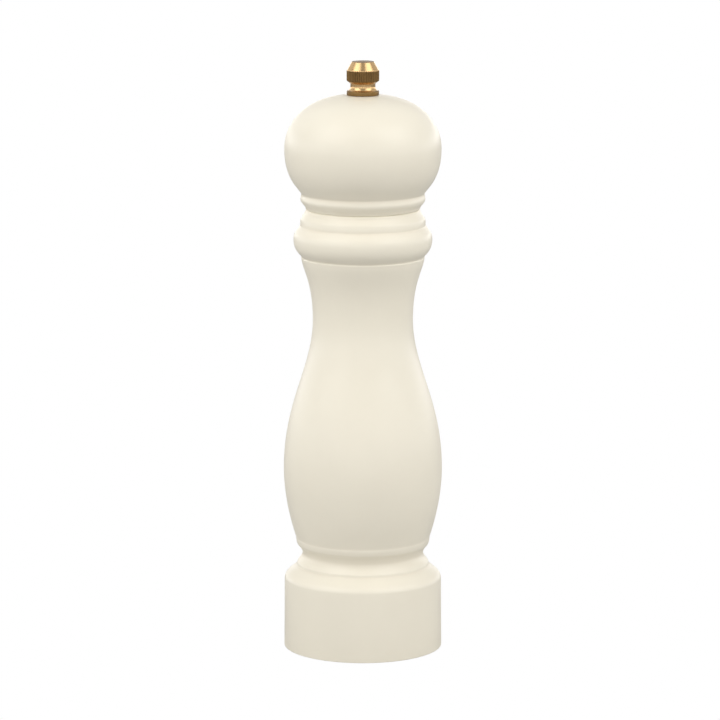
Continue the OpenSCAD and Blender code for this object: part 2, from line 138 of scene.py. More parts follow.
def bow(a: Array, arm_a: Array, b: Array, arm_b: Array, steps: int) -> Array:
    """Points of a curve that leaves a along one arm and reaches b along another.

    With t from 0 to 1 and s = 1 - t, a point is s^3 a + 3 s^2 t (a + arm_a)
    + 3 s t^2 (b - arm_b) + t^3 b.

    Args:
        a: The start, which is left out, so that curves can follow one another.
        arm_a: The arm that the curve leaves along.
        b: The end.
        arm_b: The arm that the curve arrives along.
        steps: Number of points.

    Returns:
        The points, as rows of radius and height.
    """
    t = np.linspace(0, 1, steps + 1)[1:, None]
    s = 1 - t
    a, b = np.asarray(a, float), np.asarray(b, float)
    return s**3 * a + 3 * s**2 * t * (a + arm_a) + 3 * s * t**2 * (b - arm_b) + t**3 * b


def chained(corners: list[Array], spans: tuple) -> Array:
    """Curves that follow one another from corner to corner.

    Args:
        corners: The corners, as pairs of radius and height.
        spans: For each curve, the arm it leaves along, the arm it arrives along, and its points.

    Returns:
        The points of all the curves, without the first corner.
    """
    return np.vstack([bow(a, out, b, into, steps)
                      for a, b, (out, into, steps) in zip(corners, corners[1:], spans)])


def softened(corners: Array, radius: float | Array, steps: int = 3,
             closed: bool = True) -> Array:
    """Rounds the corners of a chain of points.

    Each corner gives way to the curve (1 - t)^2 start + 2 t (1 - t) corner + t^2 end, whose
    start and end lie on the two sides, at most the radius away from the corner.

    Args:
        corners: The chain, as rows of radius and height.
        radius: How far the rounding reaches along each side; one number, or a column of them.
        steps: Spans in each rounding.
        closed: Whether the last point joins the first; otherwise both keep their places.

    Returns:
        The longer chain of points.
    """
    corners = np.asarray(corners, float)
    back, ahead = np.roll(corners, 1, 0) - corners, np.roll(corners, -1, 0) - corners
    back_l = np.linalg.norm(back, axis=1, keepdims=True)
    ahead_l = np.linalg.norm(ahead, axis=1, keepdims=True)
    start = corners + back / back_l * np.minimum(radius, SIDE_SHARE * back_l)
    end = corners + ahead / ahead_l * np.minimum(radius, SIDE_SHARE * ahead_l)
    t = np.linspace(0, 1, steps + 1)[None, :, None]
    start, middle, end = start[:, None], corners[:, None], end[:, None]
    curve = (1 - t) ** 2 * start + 2 * t * (1 - t) * middle + t**2 * end
    if closed:
        return curve.reshape(-1, 2)
    return np.vstack([corners[:1], curve[1:-1].reshape(-1, 2), corners[-1:]])


def refined(section: Array, step: float) -> Array:
    """The same section with points added, so that they lie no further apart than the step."""
    run = np.concatenate([[0], np.cumsum(np.linalg.norm(np.diff(section, axis=0), axis=1))])
    at = np.unique(np.concatenate([run, np.arange(0, run[-1], step)]))
    return np.stack([np.interp(at, run, section[:, 0]), np.interp(at, run, section[:, 1])], 1)


def circle(radius: float) -> Outline:
    """An outline with the same radius at every angle."""
    return lambda angle: np.full_like(angle, radius)


def square(half: float, corner: float = 0.35) -> Outline:
    """An outline of a square with rounded corners.

    Folded into one eighth of a turn, the radius is half / cos w along the flat, and beyond it
    p + sqrt(corner^2 - q^2), where p and q place the corner's centre along and across the ray.

    Args:
        half: Half of the width across the flats.
        corner: Radius of the corners.

    Returns:
        The outline, as a function of the angle.
    """

    def radius(angle: Array) -> Array:
        fold = np.abs((angle + math.pi / 4) % (math.pi / 2) - math.pi / 4)
        centre = (half - corner) * math.sqrt(2)
        along = centre * np.cos(math.pi / 4 - fold)
        across = centre * np.sin(math.pi / 4 - fold)
        rounded = along + np.sqrt(np.maximum(corner**2 - across**2, 0))
        return np.where(half * np.tan(fold) > half - corner, rounded, half / np.cos(fold))

    return radius


def strap(half: float, length: float, hub: float = 0.0, crisp: int = 24) -> Outline:
    """An outline of a strap along X with round ends, and a round hub in its middle.

    The strap's radius is the soft minimum of half / |sin w| and the length; the outline is the
    soft maximum of that and the hub.  Both are power means, so that their corners are rounded.

    Args:
        half: Half of the strap's width.
        length: Radius of its ends.
        hub: Radius of the hub.
        crisp: Power of the means; the higher it is, the sharper the corners are.

    Returns:
        The outline, as a function of the angle.
    """

    def radius(angle: Array) -> Array:
        side = half / np.maximum(np.abs(np.sin(angle)), 1e-6)
        band = (side**-crisp + float(length) ** -crisp) ** (-1 / crisp)
        return np.maximum(band, (band**crisp + hub**crisp) ** (1 / crisp)) if hub else band

    return radius


def even_angles(outline: Outline, columns: int) -> Array:
    """Angles at which an outline's points lie evenly along it.

    The outline's length is summed over a fine fan of angles and read back at equal shares.
    """
    fan = np.linspace(0, 2 * math.pi, FAN_PER_COLUMN * columns + 1)
    points = outline(fan)[:, None] * np.stack([np.cos(fan), np.sin(fan)], 1)
    run = np.concatenate([[0], np.cumsum(np.linalg.norm(np.diff(points, axis=0), axis=1))])
    return np.interp(np.linspace(0, run[-1], columns, endpoint=False), run, fan)


def full_turn(columns: int) -> Array:
    """Angles that divide one turn evenly."""
    return np.linspace(0, 2 * math.pi, columns, endpoint=False)


def polar(radius: Array, angle: Array, height: Array | float) -> Array:
    """Points at a radius and an angle round Z, at a height."""
    rows = np.broadcast_arrays(radius * np.cos(angle), radius * np.sin(angle), height)
    return np.stack(rows, -1)


def eased(value: Array, start: float, end: float) -> Array:
    """Rises smoothly from 0 at start to 1 at end, as 3 t^2 - 2 t^3."""
    t = np.clip((value - start) / (end - start), 0, 1)
    return t * t * (3 - 2 * t)


def v_groove(phase: Array, share: float = 1.0) -> Array:
    """A V that is 1 deep at each whole number of the phase and fills a share of the pitch."""
    off = np.abs((phase + 0.5) % 1 - 0.5)
    return np.clip(1 - 2 * off / share, 0, 1)


# --- surfaces


@dataclass(frozen=True)
class Surface:
    """A mesh held as whole arrays, in millimetres.

    A triangle is a row of faces whose last corner is -1.  bands holds each face's finish, and
    hollow says for each point how deep it lies in a groove, from 0 to 1.
    """

    points: Array
    faces: Array
    bands: Array
    hollow: Array


def grid(points: Array, closed: bool = True, bands: Array | None = None,
         hollow: Array | None = None) -> Surface:
    """Faces over rows of points, each row a loop.

    The face between rows k and k + 1 at column j joins (k, j), (k, j + 1), (k + 1, j + 1) and
    (k + 1, j).  An open grid's two ends are closed by fans to their middles.

    Args:
        points: Array of rows x columns x 3.
        closed: Whether the last row joins the first.
        bands: Finish of each row of faces.
        hollow: Depth in a groove, for each point.

    Returns:
        The closed surface.
    """
    rows, columns = points.shape[:2]
    number = np.arange(rows * columns).reshape(rows, columns)
    if closed:
        number = np.vstack([number, number[:1]])
    near, far = number[:-1], number[1:]
    quads = np.stack([near, np.roll(near, -1, 1), np.roll(far, -1, 1), far], -1).reshape(-1, 4)
    band = np.zeros(len(near), int) if bands is None else bands[: len(near)]
    faces, face_bands = [quads], [np.repeat(band, columns)]
    deep = np.zeros((rows, columns)) if hollow is None else hollow
    everything, depths = [points.reshape(-1, 3)], [deep.reshape(-1)]
    if not closed:
        pole = rows * columns
        none = np.full(columns, -1)
        first, last = number[0], number[-1]
        faces += [
            np.stack([none + 1 + pole, np.roll(first, -1), first, none], 1),
            np.stack([last, np.roll(last, -1), none + 2 + pole, none], 1),
        ]
        face_bands += [np.full(columns, band[0]), np.full(columns, band[-1])]
        everything.append(points[[0, -1]].mean(1))
        depths.append(deep[[0, -1]].mean(1))
    return Surface(np.vstack(everything), np.vstack(faces), np.concatenate(face_bands),
                   np.concatenate(depths))


def joined(*surfaces: Surface) -> Surface:
    """Several surfaces as one, each still closed by itself."""
    starts = np.cumsum([0] + [len(s.points) for s in surfaces[:-1]])
    return Surface(
        np.vstack([s.points for s in surfaces]),
        np.vstack([np.where(s.faces < 0, -1, s.faces + n) for s, n in zip(surfaces, starts)]),
        np.concatenate([s.bands for s in surfaces]),
        np.concatenate([s.hollow for s in surfaces]),
    )


def placed(surface: Surface, x: float, y: float) -> Surface:
    """The same surface, moved sideways."""
    return Surface(surface.points + [x, y, 0], surface.faces, surface.bands, surface.hollow)


def turned(section: Array, columns: int, closed: bool = True, bands: Array | None = None,
           hollow: Array | None = None, cut: Callable[[Array, Array, Array], Array] | None = None
           ) -> Surface:
    """Carries a section once round the Z axis.

    At the angle w a row (r, z) becomes (r cos w, r sin w, z), where r is first passed through
    cut, which carves knurls, threads and teeth.

    Args:
        section: Rows of radius and height, up the outside and down the inside.
        columns: Number of points in one turn.
        closed: Whether the section's end joins its start.
        bands: Finish of each row of faces.
        hollow: Depth in a groove, for each row.
        cut: Function of radii, heights and angles that gives the radii to use.

    Returns:
        The turned surface.
    """
    angle = full_turn(columns)[None, :]
    radius, height = section[:, [0]], section[:, [1]]
    kept = radius * np.ones_like(angle) if cut is None else cut(radius, height, angle)
    if hollow is not None:
        deep = hollow[:, None] * np.ones_like(angle)
    else:
        deep = np.clip((radius - kept) / max(1e-6, np.ptp(radius - kept)), 0, 1)
    return grid(polar(kept, angle, height), closed, bands, deep)


def flat_section(bottom: float, top: float, edge: float, rows: int = 8, steps: int = 3) -> Array:
    """The section of a flat plate, as rows of share, offset and height.

    Share 0 is the plate's inner outline and share 1 its outer one; the offset stands a row back
    from them by edge (1 - sin v) round each edge, at the height edge (1 - cos v).

    Args:
        bottom: Height of the lower face.
        top: Height of the upper face.
        edge: Radius of the rounded edges.
        rows: Number of rows across each face.
        steps: Spans in each rounding.

    Returns:
        The rows, outwards along the lower face and inwards along the upper one.
    """
    share = np.linspace(0, 1, rows)
    v = np.linspace(0, math.pi / 2, steps + 1)[1:]
    across = np.stack([share, edge * (1 - 2 * share), np.full(rows, bottom)], 1)
    turn = np.stack([np.ones(steps), edge * (np.sin(v) - 1), bottom + edge * (1 - np.cos(v))], 1)
    inner = turn[::-1] * [0, -1, 1]
    lower = np.vstack([inner, across, turn])
    return np.vstack([lower, lower[::-1] * [1, 1, -1] + [0, 0, bottom + top]])


def plate(section: Array, inner: Outline, outer: Outline, columns: int = 160,
          lift: Lift | None = None) -> Surface:
    """Carries a section round Z between two outlines.

    At the angle w a row (share, offset, z) lies at the radius
    inner(w) + share (outer(w) - inner(w)) + offset, and lift adds a height found from x and y.

    Args:
        section: Rows of share, offset and height.
        inner: Outline of the hole.
        outer: Outline of the rim.
        columns: Number of points in one turn, spread evenly along the rim.
        lift: Function of x and y that gives the height to add.

    Returns:
        The plate's surface.
    """
    angle = even_angles(outer, columns)[None, :]
    share, offset, height = (section[:, [k]] for k in range(3))
    radius = inner(angle) + share * (outer(angle) - inner(angle)) + offset
    x, y = radius * np.cos(angle), radius * np.sin(angle)
    z = height + (lift(x, y) if lift else np.zeros_like(x))
    return grid(np.stack([x, y, z], -1))


def washer(node: str, inner: Outline, edge: float = 0.12, dish: float = 0.0) -> Surface:
    """A thin round plate that fills a node's height, with a slight dish towards its rim."""
    rim = half_width(node)

    def lift(x: Array, y: Array) -> Array:
        return dish * (np.hypot(x, y) / rim) ** 2

    return plate(flat_section(low(node), high(node) - dish, edge), inner, circle(rim), lift=lift)


# --- pieces


def make_mesh(name: str, surface: Surface, crease: float) -> bpy.types.Object:
    """Makes a smooth-shaded mesh object from a surface, in metres.

    Args:
        name: The object's name.
        surface: The surface, in millimetres.
        crease: Angle in degrees past which an edge stays sharp.

    Returns:
        The new object.
    """
    sizes = (surface.faces >= 0).sum(1)
    corners = surface.faces[surface.faces >= 0]
    mesh = bpy.data.meshes.new(name)
    mesh.vertices.add(len(surface.points))
    mesh.vertices.foreach_set("co", (surface.points * MM).astype(np.float32).ravel())
    mesh.loops.add(len(corners))
    mesh.loops.foreach_set("vertex_index", corners.astype(np.int32))
    mesh.polygons.add(len(sizes))
    mesh.polygons.foreach_set("loop_start", (np.cumsum(sizes) - sizes).astype(np.int32))
    mesh.polygons.foreach_set("material_index", surface.bands.astype(np.int32))
    hollow = mesh.attributes.new("hollow", "FLOAT", "POINT")
    hollow.data.foreach_set("value", surface.hollow.astype(np.float32))
    mesh.update(calc_edges=True)
    mesh.validate()
    mesh.shade_smooth()
    mesh.set_sharp_from_angle(angle=math.radians(crease))
    piece = bpy.data.objects.new(name, mesh)
    bpy.context.scene.collection.objects.link(piece)
    return piece


@dataclass(frozen=True)
class Piece:
    """One finished piece of the mill, and the CAD node that it stands for."""

    name: str
    node: str
    slot: Slot
    surface: Surface
    crease: float = 35.0
    only: Band | None = None
    between: tuple[str, str] | None = None

    def build(self, finishes: dict[Slot, tuple[bpy.types.Material, ...]]) -> bpy.types.Object:
        """Makes and dresses the piece, and lets it move.

        A piece between two bodies keeps its place and rides on neither; any other rides on its
        node's body.

        Args:
            finishes: The finishes of each slot; the piece wears them all, or the only one named.

        Returns:
            The piece.
        """
        piece = make_mesh(self.name, self.surface, self.crease)
        worn = finishes[self.slot]
        for finish in worn if self.only is None else (worn[self.only.value],):
            piece.data.materials.append(finish)
        if self.between:
            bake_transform(piece)
        else:
            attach(piece, frame["nodes"][self.node]["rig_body"])
        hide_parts(self.node)
        return piece


# --- node layout


class Nodes:
    """Adds and links the nodes of one material or group."""

    def __init__(self, tree: bpy.types.NodeTree) -> None:
        """Keeps the tree that the nodes go into."""
        self.tree = tree

    def add(self, kind: str, inputs: dict | None = None, **settings: object) -> bpy.types.Node:
        """Adds a node.

        Args:
            kind: The node's type, without the word ShaderNode.
            inputs: Values by input name or number; a socket is linked, a constant is set.
            **settings: Properties of the node itself.

        Returns:
            The new node.
        """
        node = self.tree.nodes.new("ShaderNode" + kind)
        for key, value in settings.items():
            setattr(node, key, value)
        self.feed(node, inputs or {})
        return node

    def feed(self, node: bpy.types.Node, inputs: dict) -> None:
        """Gives a node its inputs.

        Args:
            node: The node.
            inputs: Values by input name or number; a socket is linked, a constant is set.
        """
        for key, value in inputs.items():
            if isinstance(value, Socket):
                self.tree.links.new(value, node.inputs[key])
            else:
                node.inputs[key].default_value = value

    def maths(self, operation: str, a: object, b: object = 0.5, c: object = 0.0) -> Socket:
        """Output of a Math node."""
        return self.add("Math", {0: a, 1: b, 2: c}, operation=operation).outputs[0]

    def noise(self, vector: Socket, scale: Socket | float, detail: float) -> Socket:
        """Output of a Noise Texture, around 0.5."""
        inputs = {"Vector": vector, "Scale": scale, "Detail": detail}
        return self.add("TexNoise", inputs).outputs[0]

    def stretched(self, vector: Socket, scale: tuple[float, float, float]) -> Socket:
        """The coordinates, scaled by a Mapping node."""
        return self.add("Mapping", {"Vector": vector, "Scale": scale}).outputs[0]

    def span(self, value: Socket, old: tuple[float, float], new: tuple[float, float]) -> Socket:
        """The value carried from one range to another, and held inside it."""
        inputs = {0: value, 1: old[0], 2: old[1], 3: new[0], 4: new[1]}
        return self.add("MapRange", inputs).outputs[0]

    def colours(self, mask: Socket, a: object, b: object) -> Socket:
        """The colour a where the mask is 0, and b where it is 1."""
        mix = self.add("Mix", {0: mask, 6: a, 7: b}, data_type="RGBA")
        return mix.outputs[2]

    def bump(self, strength: float, distance: float, height: Socket) -> Socket:
        """A normal that follows a height."""
        inputs = {"Strength": strength, "Distance": distance, "Height": height}
        return self.add("Bump", inputs).outputs[0]

    def group(self, tree: bpy.types.NodeTree, inputs: dict) -> bpy.types.bpy_prop_collection:
        """Outputs of a shared group, placed with its own values."""
        return self.add("Group", inputs, node_tree=tree).outputs


def rgb(red: float, green: float, blue: float) -> tuple[float, float, float, float]:
    """An opaque linear colour."""
    return (red, green, blue, 1.0)


def scaled(colour: tuple, factor: float) -> tuple:
    """An opaque colour, lighter or darker by a factor."""
    return rgb(*(min(1.0, factor * part) for part in colour[:3]))


class Effects(Enum):
    """The effects that several finishes share, each a node group built once."""

    TOOL_MARKS = "tool_marks"
    DIRT_AND_SHADE = "grime"
    FIBRES = "fibres"
    MOTTLE = "mottle"

    def tree(self) -> bpy.types.NodeTree:
        """Returns the effect's group, and builds it the first time."""
        found = bpy.data.node_groups.get(self.value)
        return found or getattr(self, "_" + self.value)()

    def _new(self, inputs: dict[str, object], outputs: tuple[str, ...]
             ) -> tuple[Nodes, dict, bpy.types.Node]:
        """Starts a group.

        Args:
            inputs: Names and first values; None stands for a vector.
            outputs: Names of the values that the group puts out.

        Returns:
            The group's nodes, its input sockets by name, and its output node.
        """
        tree = bpy.data.node_groups.new(self.value, "ShaderNodeTree")
        for name, value in inputs.items():
            kind = "NodeSocketVector" if value is None else "NodeSocketFloat"
            socket = tree.interface.new_socket(name, in_out="INPUT", socket_type=kind)
            if value is not None:
                socket.default_value = value
        for name in outputs:
            tree.interface.new_socket(name, in_out="OUTPUT", socket_type="NodeSocketFloat")
        start, end = tree.nodes.new("NodeGroupInput"), tree.nodes.new("NodeGroupOutput")
        return Nodes(tree), {s.name: s for s in start.outputs if s.name}, end

    def _tool_marks(self) -> bpy.types.NodeTree:
        """Rings round Z, as a lathe tool leaves them: noise along the sum of radius and height."""
        nodes, given, end = self._new({"Vector": None, "Per Metre": 4000.0}, ("Height", "Mask"))
        apart = nodes.add("SeparateXYZ", {0: given["Vector"]}).outputs
        level = nodes.add("CombineXYZ", {0: apart[0], 1: apart[1]}).outputs[0]
        radius = nodes.add("VectorMath", {0: level}, operation="LENGTH").outputs["Value"]
        along = nodes.maths("ADD", radius, apart[2])
        inputs = {"W": along, "Scale": given["Per Metre"], "Detail": 2.0}
        fine = nodes.add("TexNoise", inputs, noise_dimensions="1D").outputs[0]
        turn = nodes.noise(given["Vector"], 260.0, 2.0)
        nodes.feed(end, {"Height": fine, "Mask": nodes.maths("MULTIPLY", fine, turn)})
        return nodes.tree

    def _grime(self) -> bpy.types.NodeTree:
        """Darkening in hollows, painted shade on the lacquer and dirt on the other finishes: their
        depth, broken up by noise, and thin smears outside.
        """
        nodes, given, end = self._new(
            {"Vector": None, "Scale": 180.0, "Hollows": 1.0, "Smears": 0.2}, ("Mask",))
        hollow = nodes.add("Attribute", attribute_name="hollow").outputs["Fac"]
        cloud = nodes.noise(given["Vector"], given["Scale"], 5.0)
        patchy = nodes.span(cloud, NOISE_RANGE, (0.55, 1.0))
        # each hollow darkens by its depth: painted shade on the lacquer, dirt on the other finishes
        deep = nodes.maths("MULTIPLY", nodes.maths("MULTIPLY", hollow, patchy), given["Hollows"])
        smear = nodes.maths("MULTIPLY", nodes.span(cloud, (0.5, 0.75), UNIT), given["Smears"])
        nodes.feed(end, {"Mask": nodes.maths("MAXIMUM", deep, smear)})
        return nodes.tree

    def _fibres(self) -> bpy.types.NodeTree:
        """Wood along Z: rings round a pith beside the axis, long fibres and short flecks."""
        nodes, given, end = self._new(
            {"Vector": None, "Rings Per Metre": 420.0}, ("Rings", "Fibres", "Flecks"))
        pith = nodes.add("Mapping", {"Vector": given["Vector"], "Location": (0.031, 0.022, 0.0),
                                     "Scale": (1.0, 1.0, 0.06)}).outputs[0]
        wander = nodes.noise(nodes.stretched(given["Vector"], (1.0, 1.0, 0.15)), 45.0, 2.0)
        far = nodes.add("VectorMath", {0: pith}, operation="LENGTH").outputs["Value"]
        phase = nodes.maths("MULTIPLY", far, given["Rings Per Metre"])
        phase = nodes.maths("MULTIPLY_ADD", wander, 2.4, phase)
        rings = nodes.maths("POWER", nodes.maths("FRACT", phase), 2.2)
        fibres = nodes.noise(nodes.stretched(given["Vector"], (1.0, 1.0, 0.035)), 2600.0, 4.0)
        specks = nodes.noise(nodes.stretched(given["Vector"], (1.0, 1.0, 0.14)), 1500.0, 1.0)
        flecks = nodes.span(specks, (0.62, 0.68), UNIT)
        nodes.feed(end, {"Rings": rings, "Fibres": fibres, "Flecks": flecks})
        return nodes.tree

    def _mottle(self) -> bpy.types.NodeTree:
        """Two sizes of soft clouds, and the fine dimples of a sprayed or plated skin."""
        nodes, given, end = self._new(
            {"Vector": None, "Cloud Scale": 30.0, "Dimple Scale": 700.0}, ("Clouds", "Dimples"))
        clouds = nodes.noise(given["Vector"], given["Cloud Scale"], 4.0)
        dimples = nodes.noise(given["Vector"], given["Dimple Scale"], 1.0)
        nodes.feed(end, {"Clouds": clouds, "Dimples": dimples})
        return nodes.tree


# --- finishes


def start_material(name: str) -> tuple[bpy.types.Material, Nodes, bpy.types.Node, Socket]:
    """Starts a node material.

    Returns:
        The material, its nodes, its Principled shader and the piece's own coordinates.
    """
    material = bpy.data.materials.new(name)
    material.use_nodes = True
    nodes = Nodes(material.node_tree)
    shader = material.node_tree.nodes["Principled BSDF"]
    place = nodes.add("TexCoord").outputs["Object"]
    return material, nodes, shader, place


@dataclass(frozen=True)
class Lacquer:
    """Silk-matt cream lacquer, sprayed over fine wood."""

    colour: tuple = rgb(0.84, 0.785, 0.655)
    # painted shade: the colour that the lacquer darkens towards in its creases and grooves
    crease_shade_colour: tuple = rgb(0.70, 0.60, 0.44)
    gloss: tuple[float, float] = (0.34, 0.44)
    coat: float = 0.08
    coat_roughness: float = 0.3
    cloud_scale: float = 38.0
    cloud_lift: float = 1.03
    dimple_scale: float = 900.0
    dirt_and_shade_scale: float = 90.0
    # how strongly the creases take the painted shade
    hollows: float = 0.22
    smears: float = 0.03
    grain_share: float = 0.35
    relief: float = 0.12
    relief_depth: float = 0.00006

    def material(self) -> bpy.types.Material:
        """Builds the material: faint clouds of colour, dimples, a trace of the grain, and painted
        shade in its creases.
        """
        material, nodes, shader, place = start_material("cream_lacquer")
        mottle = nodes.group(Effects.MOTTLE.tree(), {
            "Vector": place, "Cloud Scale": self.cloud_scale, "Dimple Scale": self.dimple_scale})
        wood = nodes.group(Effects.FIBRES.tree(), {"Vector": place})
        grime = nodes.group(Effects.DIRT_AND_SHADE.tree(), {
            "Vector": place, "Scale": self.dirt_and_shade_scale,
            "Hollows": self.hollows, "Smears": self.smears})[0]
        base = nodes.colours(nodes.span(mottle["Clouds"], NOISE_RANGE, UNIT),
                             self.colour, scaled(self.colour, self.cloud_lift))
        height = nodes.maths("MULTIPLY_ADD", wood["Fibres"], self.grain_share, mottle["Dimples"])
        nodes.feed(shader, {
            # painted shade: creases and grooves darken by their depth, with faint smears of dirt
            # outside them
            "Base Color": nodes.colours(grime, base, self.crease_shade_colour),
            "Roughness": nodes.span(mottle["Clouds"], NOISE_RANGE, self.gloss),
            "Normal": nodes.bump(self.relief, self.relief_depth, height),
            "Coat Weight": self.coat,
            "Coat Roughness": self.coat_roughness,
        })
        return material


@dataclass(frozen=True)
class BareBeech:
    """Unfinished beech inside the bore and on the tenon."""

    early: tuple = rgb(0.63, 0.43, 0.26)
    late: tuple = rgb(0.47, 0.28, 0.15)
    fleck: tuple = rgb(0.27, 0.14, 0.07)
    dust: tuple = rgb(0.12, 0.08, 0.05)
    fibre_shade: float = 0.78
    fleck_share: float = 0.7
    dirt_and_shade_scale: float = 260.0
    hollows: float = 0.5
    smears: float = 0.22
    roughness: tuple[float, float] = (0.55, 0.75)
    relief: float = 0.5
    relief_depth: float = 0.00012

    def material(self) -> bpy.types.Material:
        """Builds the material: rings, fibres, flecks and a little pepper dust."""
        material, nodes, shader, place = start_material("bare_beech")
        wood = nodes.group(Effects.FIBRES.tree(), {"Vector": place})
        grime = nodes.group(Effects.DIRT_AND_SHADE.tree(), {
            "Vector": place, "Scale": self.dirt_and_shade_scale,
            "Hollows": self.hollows, "Smears": self.smears})[0]
        base = nodes.colours(wood["Rings"], self.early, self.late)
        base = nodes.colours(nodes.span(wood["Fibres"], (0.35, 0.7), (0.0, 0.6)), base,
                             scaled(self.early, self.fibre_shade))
        flecks = nodes.maths("MULTIPLY", wood["Flecks"], self.fleck_share)
        base = nodes.colours(flecks, base, self.fleck)
        height = nodes.maths("SUBTRACT", wood["Fibres"], wood["Flecks"])
        nodes.feed(shader, {
            "Base Color": nodes.colours(grime, base, self.dust),
            "Roughness": nodes.span(wood["Fibres"], NOISE_RANGE, self.roughness),
            "Normal": nodes.bump(self.relief, self.relief_depth, height),
        })
        return material


@dataclass(frozen=True)
class Metal:
    """A metal finish: tool marks, clouds, dimples, and darkening in its hollows."""

    name: str
    colour: tuple
    dark: tuple
    rough: tuple[float, float] = (0.24, 0.4)
    marks_per_metre: float = 4000.0
    mark_depth: float = 0.00001
    hollows: float = 0.9
    smears: float = 0.15
    cloud_scale: float = 120.0
    dimple_scale: float = 1500.0
    dimple_depth: float = 0.3
    cloud_lift: float = 1.08
    relief: float = 0.6
    grime_dulling: float = 0.3
    metallic: tuple[float, float] = (1.0, 0.55)

    def material(self) -> bpy.types.Material:
        """Builds the material."""
        material, nodes, shader, place = start_material(self.name)
        marks = nodes.group(Effects.TOOL_MARKS.tree(), {
            "Vector": place, "Per Metre": self.marks_per_metre})
        mottle = nodes.group(Effects.MOTTLE.tree(), {
            "Vector": place, "Cloud Scale": self.cloud_scale,
            "Dimple Scale": self.dimple_scale})
        grime = nodes.group(Effects.DIRT_AND_SHADE.tree(), {
            "Vector": place, "Scale": 2.0 * self.cloud_scale,
            "Hollows": self.hollows, "Smears": self.smears})[0]
        base = nodes.colours(nodes.span(mottle["Clouds"], (0.35, 0.65), UNIT),
                             self.colour, scaled(self.colour, self.cloud_lift))
        rough = nodes.span(marks["Mask"], (0.1, 0.45), self.rough)
        height = nodes.maths("MULTIPLY_ADD", mottle["Dimples"], self.dimple_depth, marks["Height"])
        nodes.feed(shader, {
            "Base Color": nodes.colours(grime, base, self.dark),
            "Roughness": nodes.maths("MULTIPLY_ADD", grime, self.grime_dulling, rough),
            "Metallic": nodes.span(grime, (0.5, 1.0), self.metallic),
            "Normal": nodes.bump(self.relief, self.mark_depth, height),
        })
        return material


def all_finishes() -> dict[Slot, tuple[bpy.types.Material, ...]]:
    """Builds each slot's finishes, in the order of their bands."""
    soot = rgb(0.12, 0.11, 0.1)
    kinds = {
        Slot.LACQUER: (Lacquer(), BareBeech()),
        Slot.BRASS: (
            Metal("turned_brass", rgb(0.63, 0.42, 0.205), rgb(0.13, 0.075, 0.03), (0.22, 0.3),
                  5200.0, 0.000002, 1.0, 0.1),
            # painted shade: a darker, duller copy of the brass for the knob's band and top and the
            # washer, standing in for dark reflections and shadowing
            Metal("brass_painted_shade", rgb(0.235, 0.142, 0.053), rgb(0.06, 0.034, 0.014), (0.38, 0.5),
                  5200.0, 0.000005, 1.0, 0.3)),
        Slot.SHAFT: (Metal("drawn_steel", rgb(0.60, 0.60, 0.61), soot, marks_per_metre=1500.0,
                           mark_depth=0.000002, smears=0.25),),
        Slot.STAMPED: (Metal("zinc_sheet", rgb(0.62, 0.62, 0.60), rgb(0.2, 0.19, 0.17), (0.3, 0.5),
                             900.0, smears=0.3, cloud_scale=160.0),),
        Slot.BURR: (Metal("hardened_steel", rgb(0.30, 0.30, 0.32), rgb(0.045, 0.035, 0.028),
                          (0.3, 0.48), smears=0.2, cloud_scale=220.0),),
        Slot.SCREW: (Metal("zinc_screw", rgb(0.66, 0.65, 0.62), rgb(0.10, 0.09, 0.08),
                           (0.22, 0.38), 3000.0),),
        Slot.SPRING: (Metal("spring_wire", rgb(0.50, 0.50, 0.52), soot, (0.25, 0.4), 2000.0),),
    }
    return {slot: tuple(kind.material() for kind in row) for slot, row in kinds.items()}


# --- turned wood

RIM_EDGE = 0.3


def concave(section: Array, away: float = 1.2) -> Array:
    """How deep each row of a section lies in a hollow, from 0 to 1.

    Each row is compared with the middle of the rows a little before and after it along the
    section: where that middle lies further from the axis, the row is in a hollow.

    Args:
        section: Rows of radius and height.
        away: Distance along the section to the compared rows.

    Returns:
        One number for each row.
    """
    run = np.concatenate([[0], np.cumsum(np.linalg.norm(np.diff(section, axis=0), axis=1))])
    radius = section[:, 0]
    middle = (np.interp(run - away, run, radius) + np.interp(run + away, run, radius)) / 2
    return np.clip((middle - radius) / (0.25 * away), 0, 1)


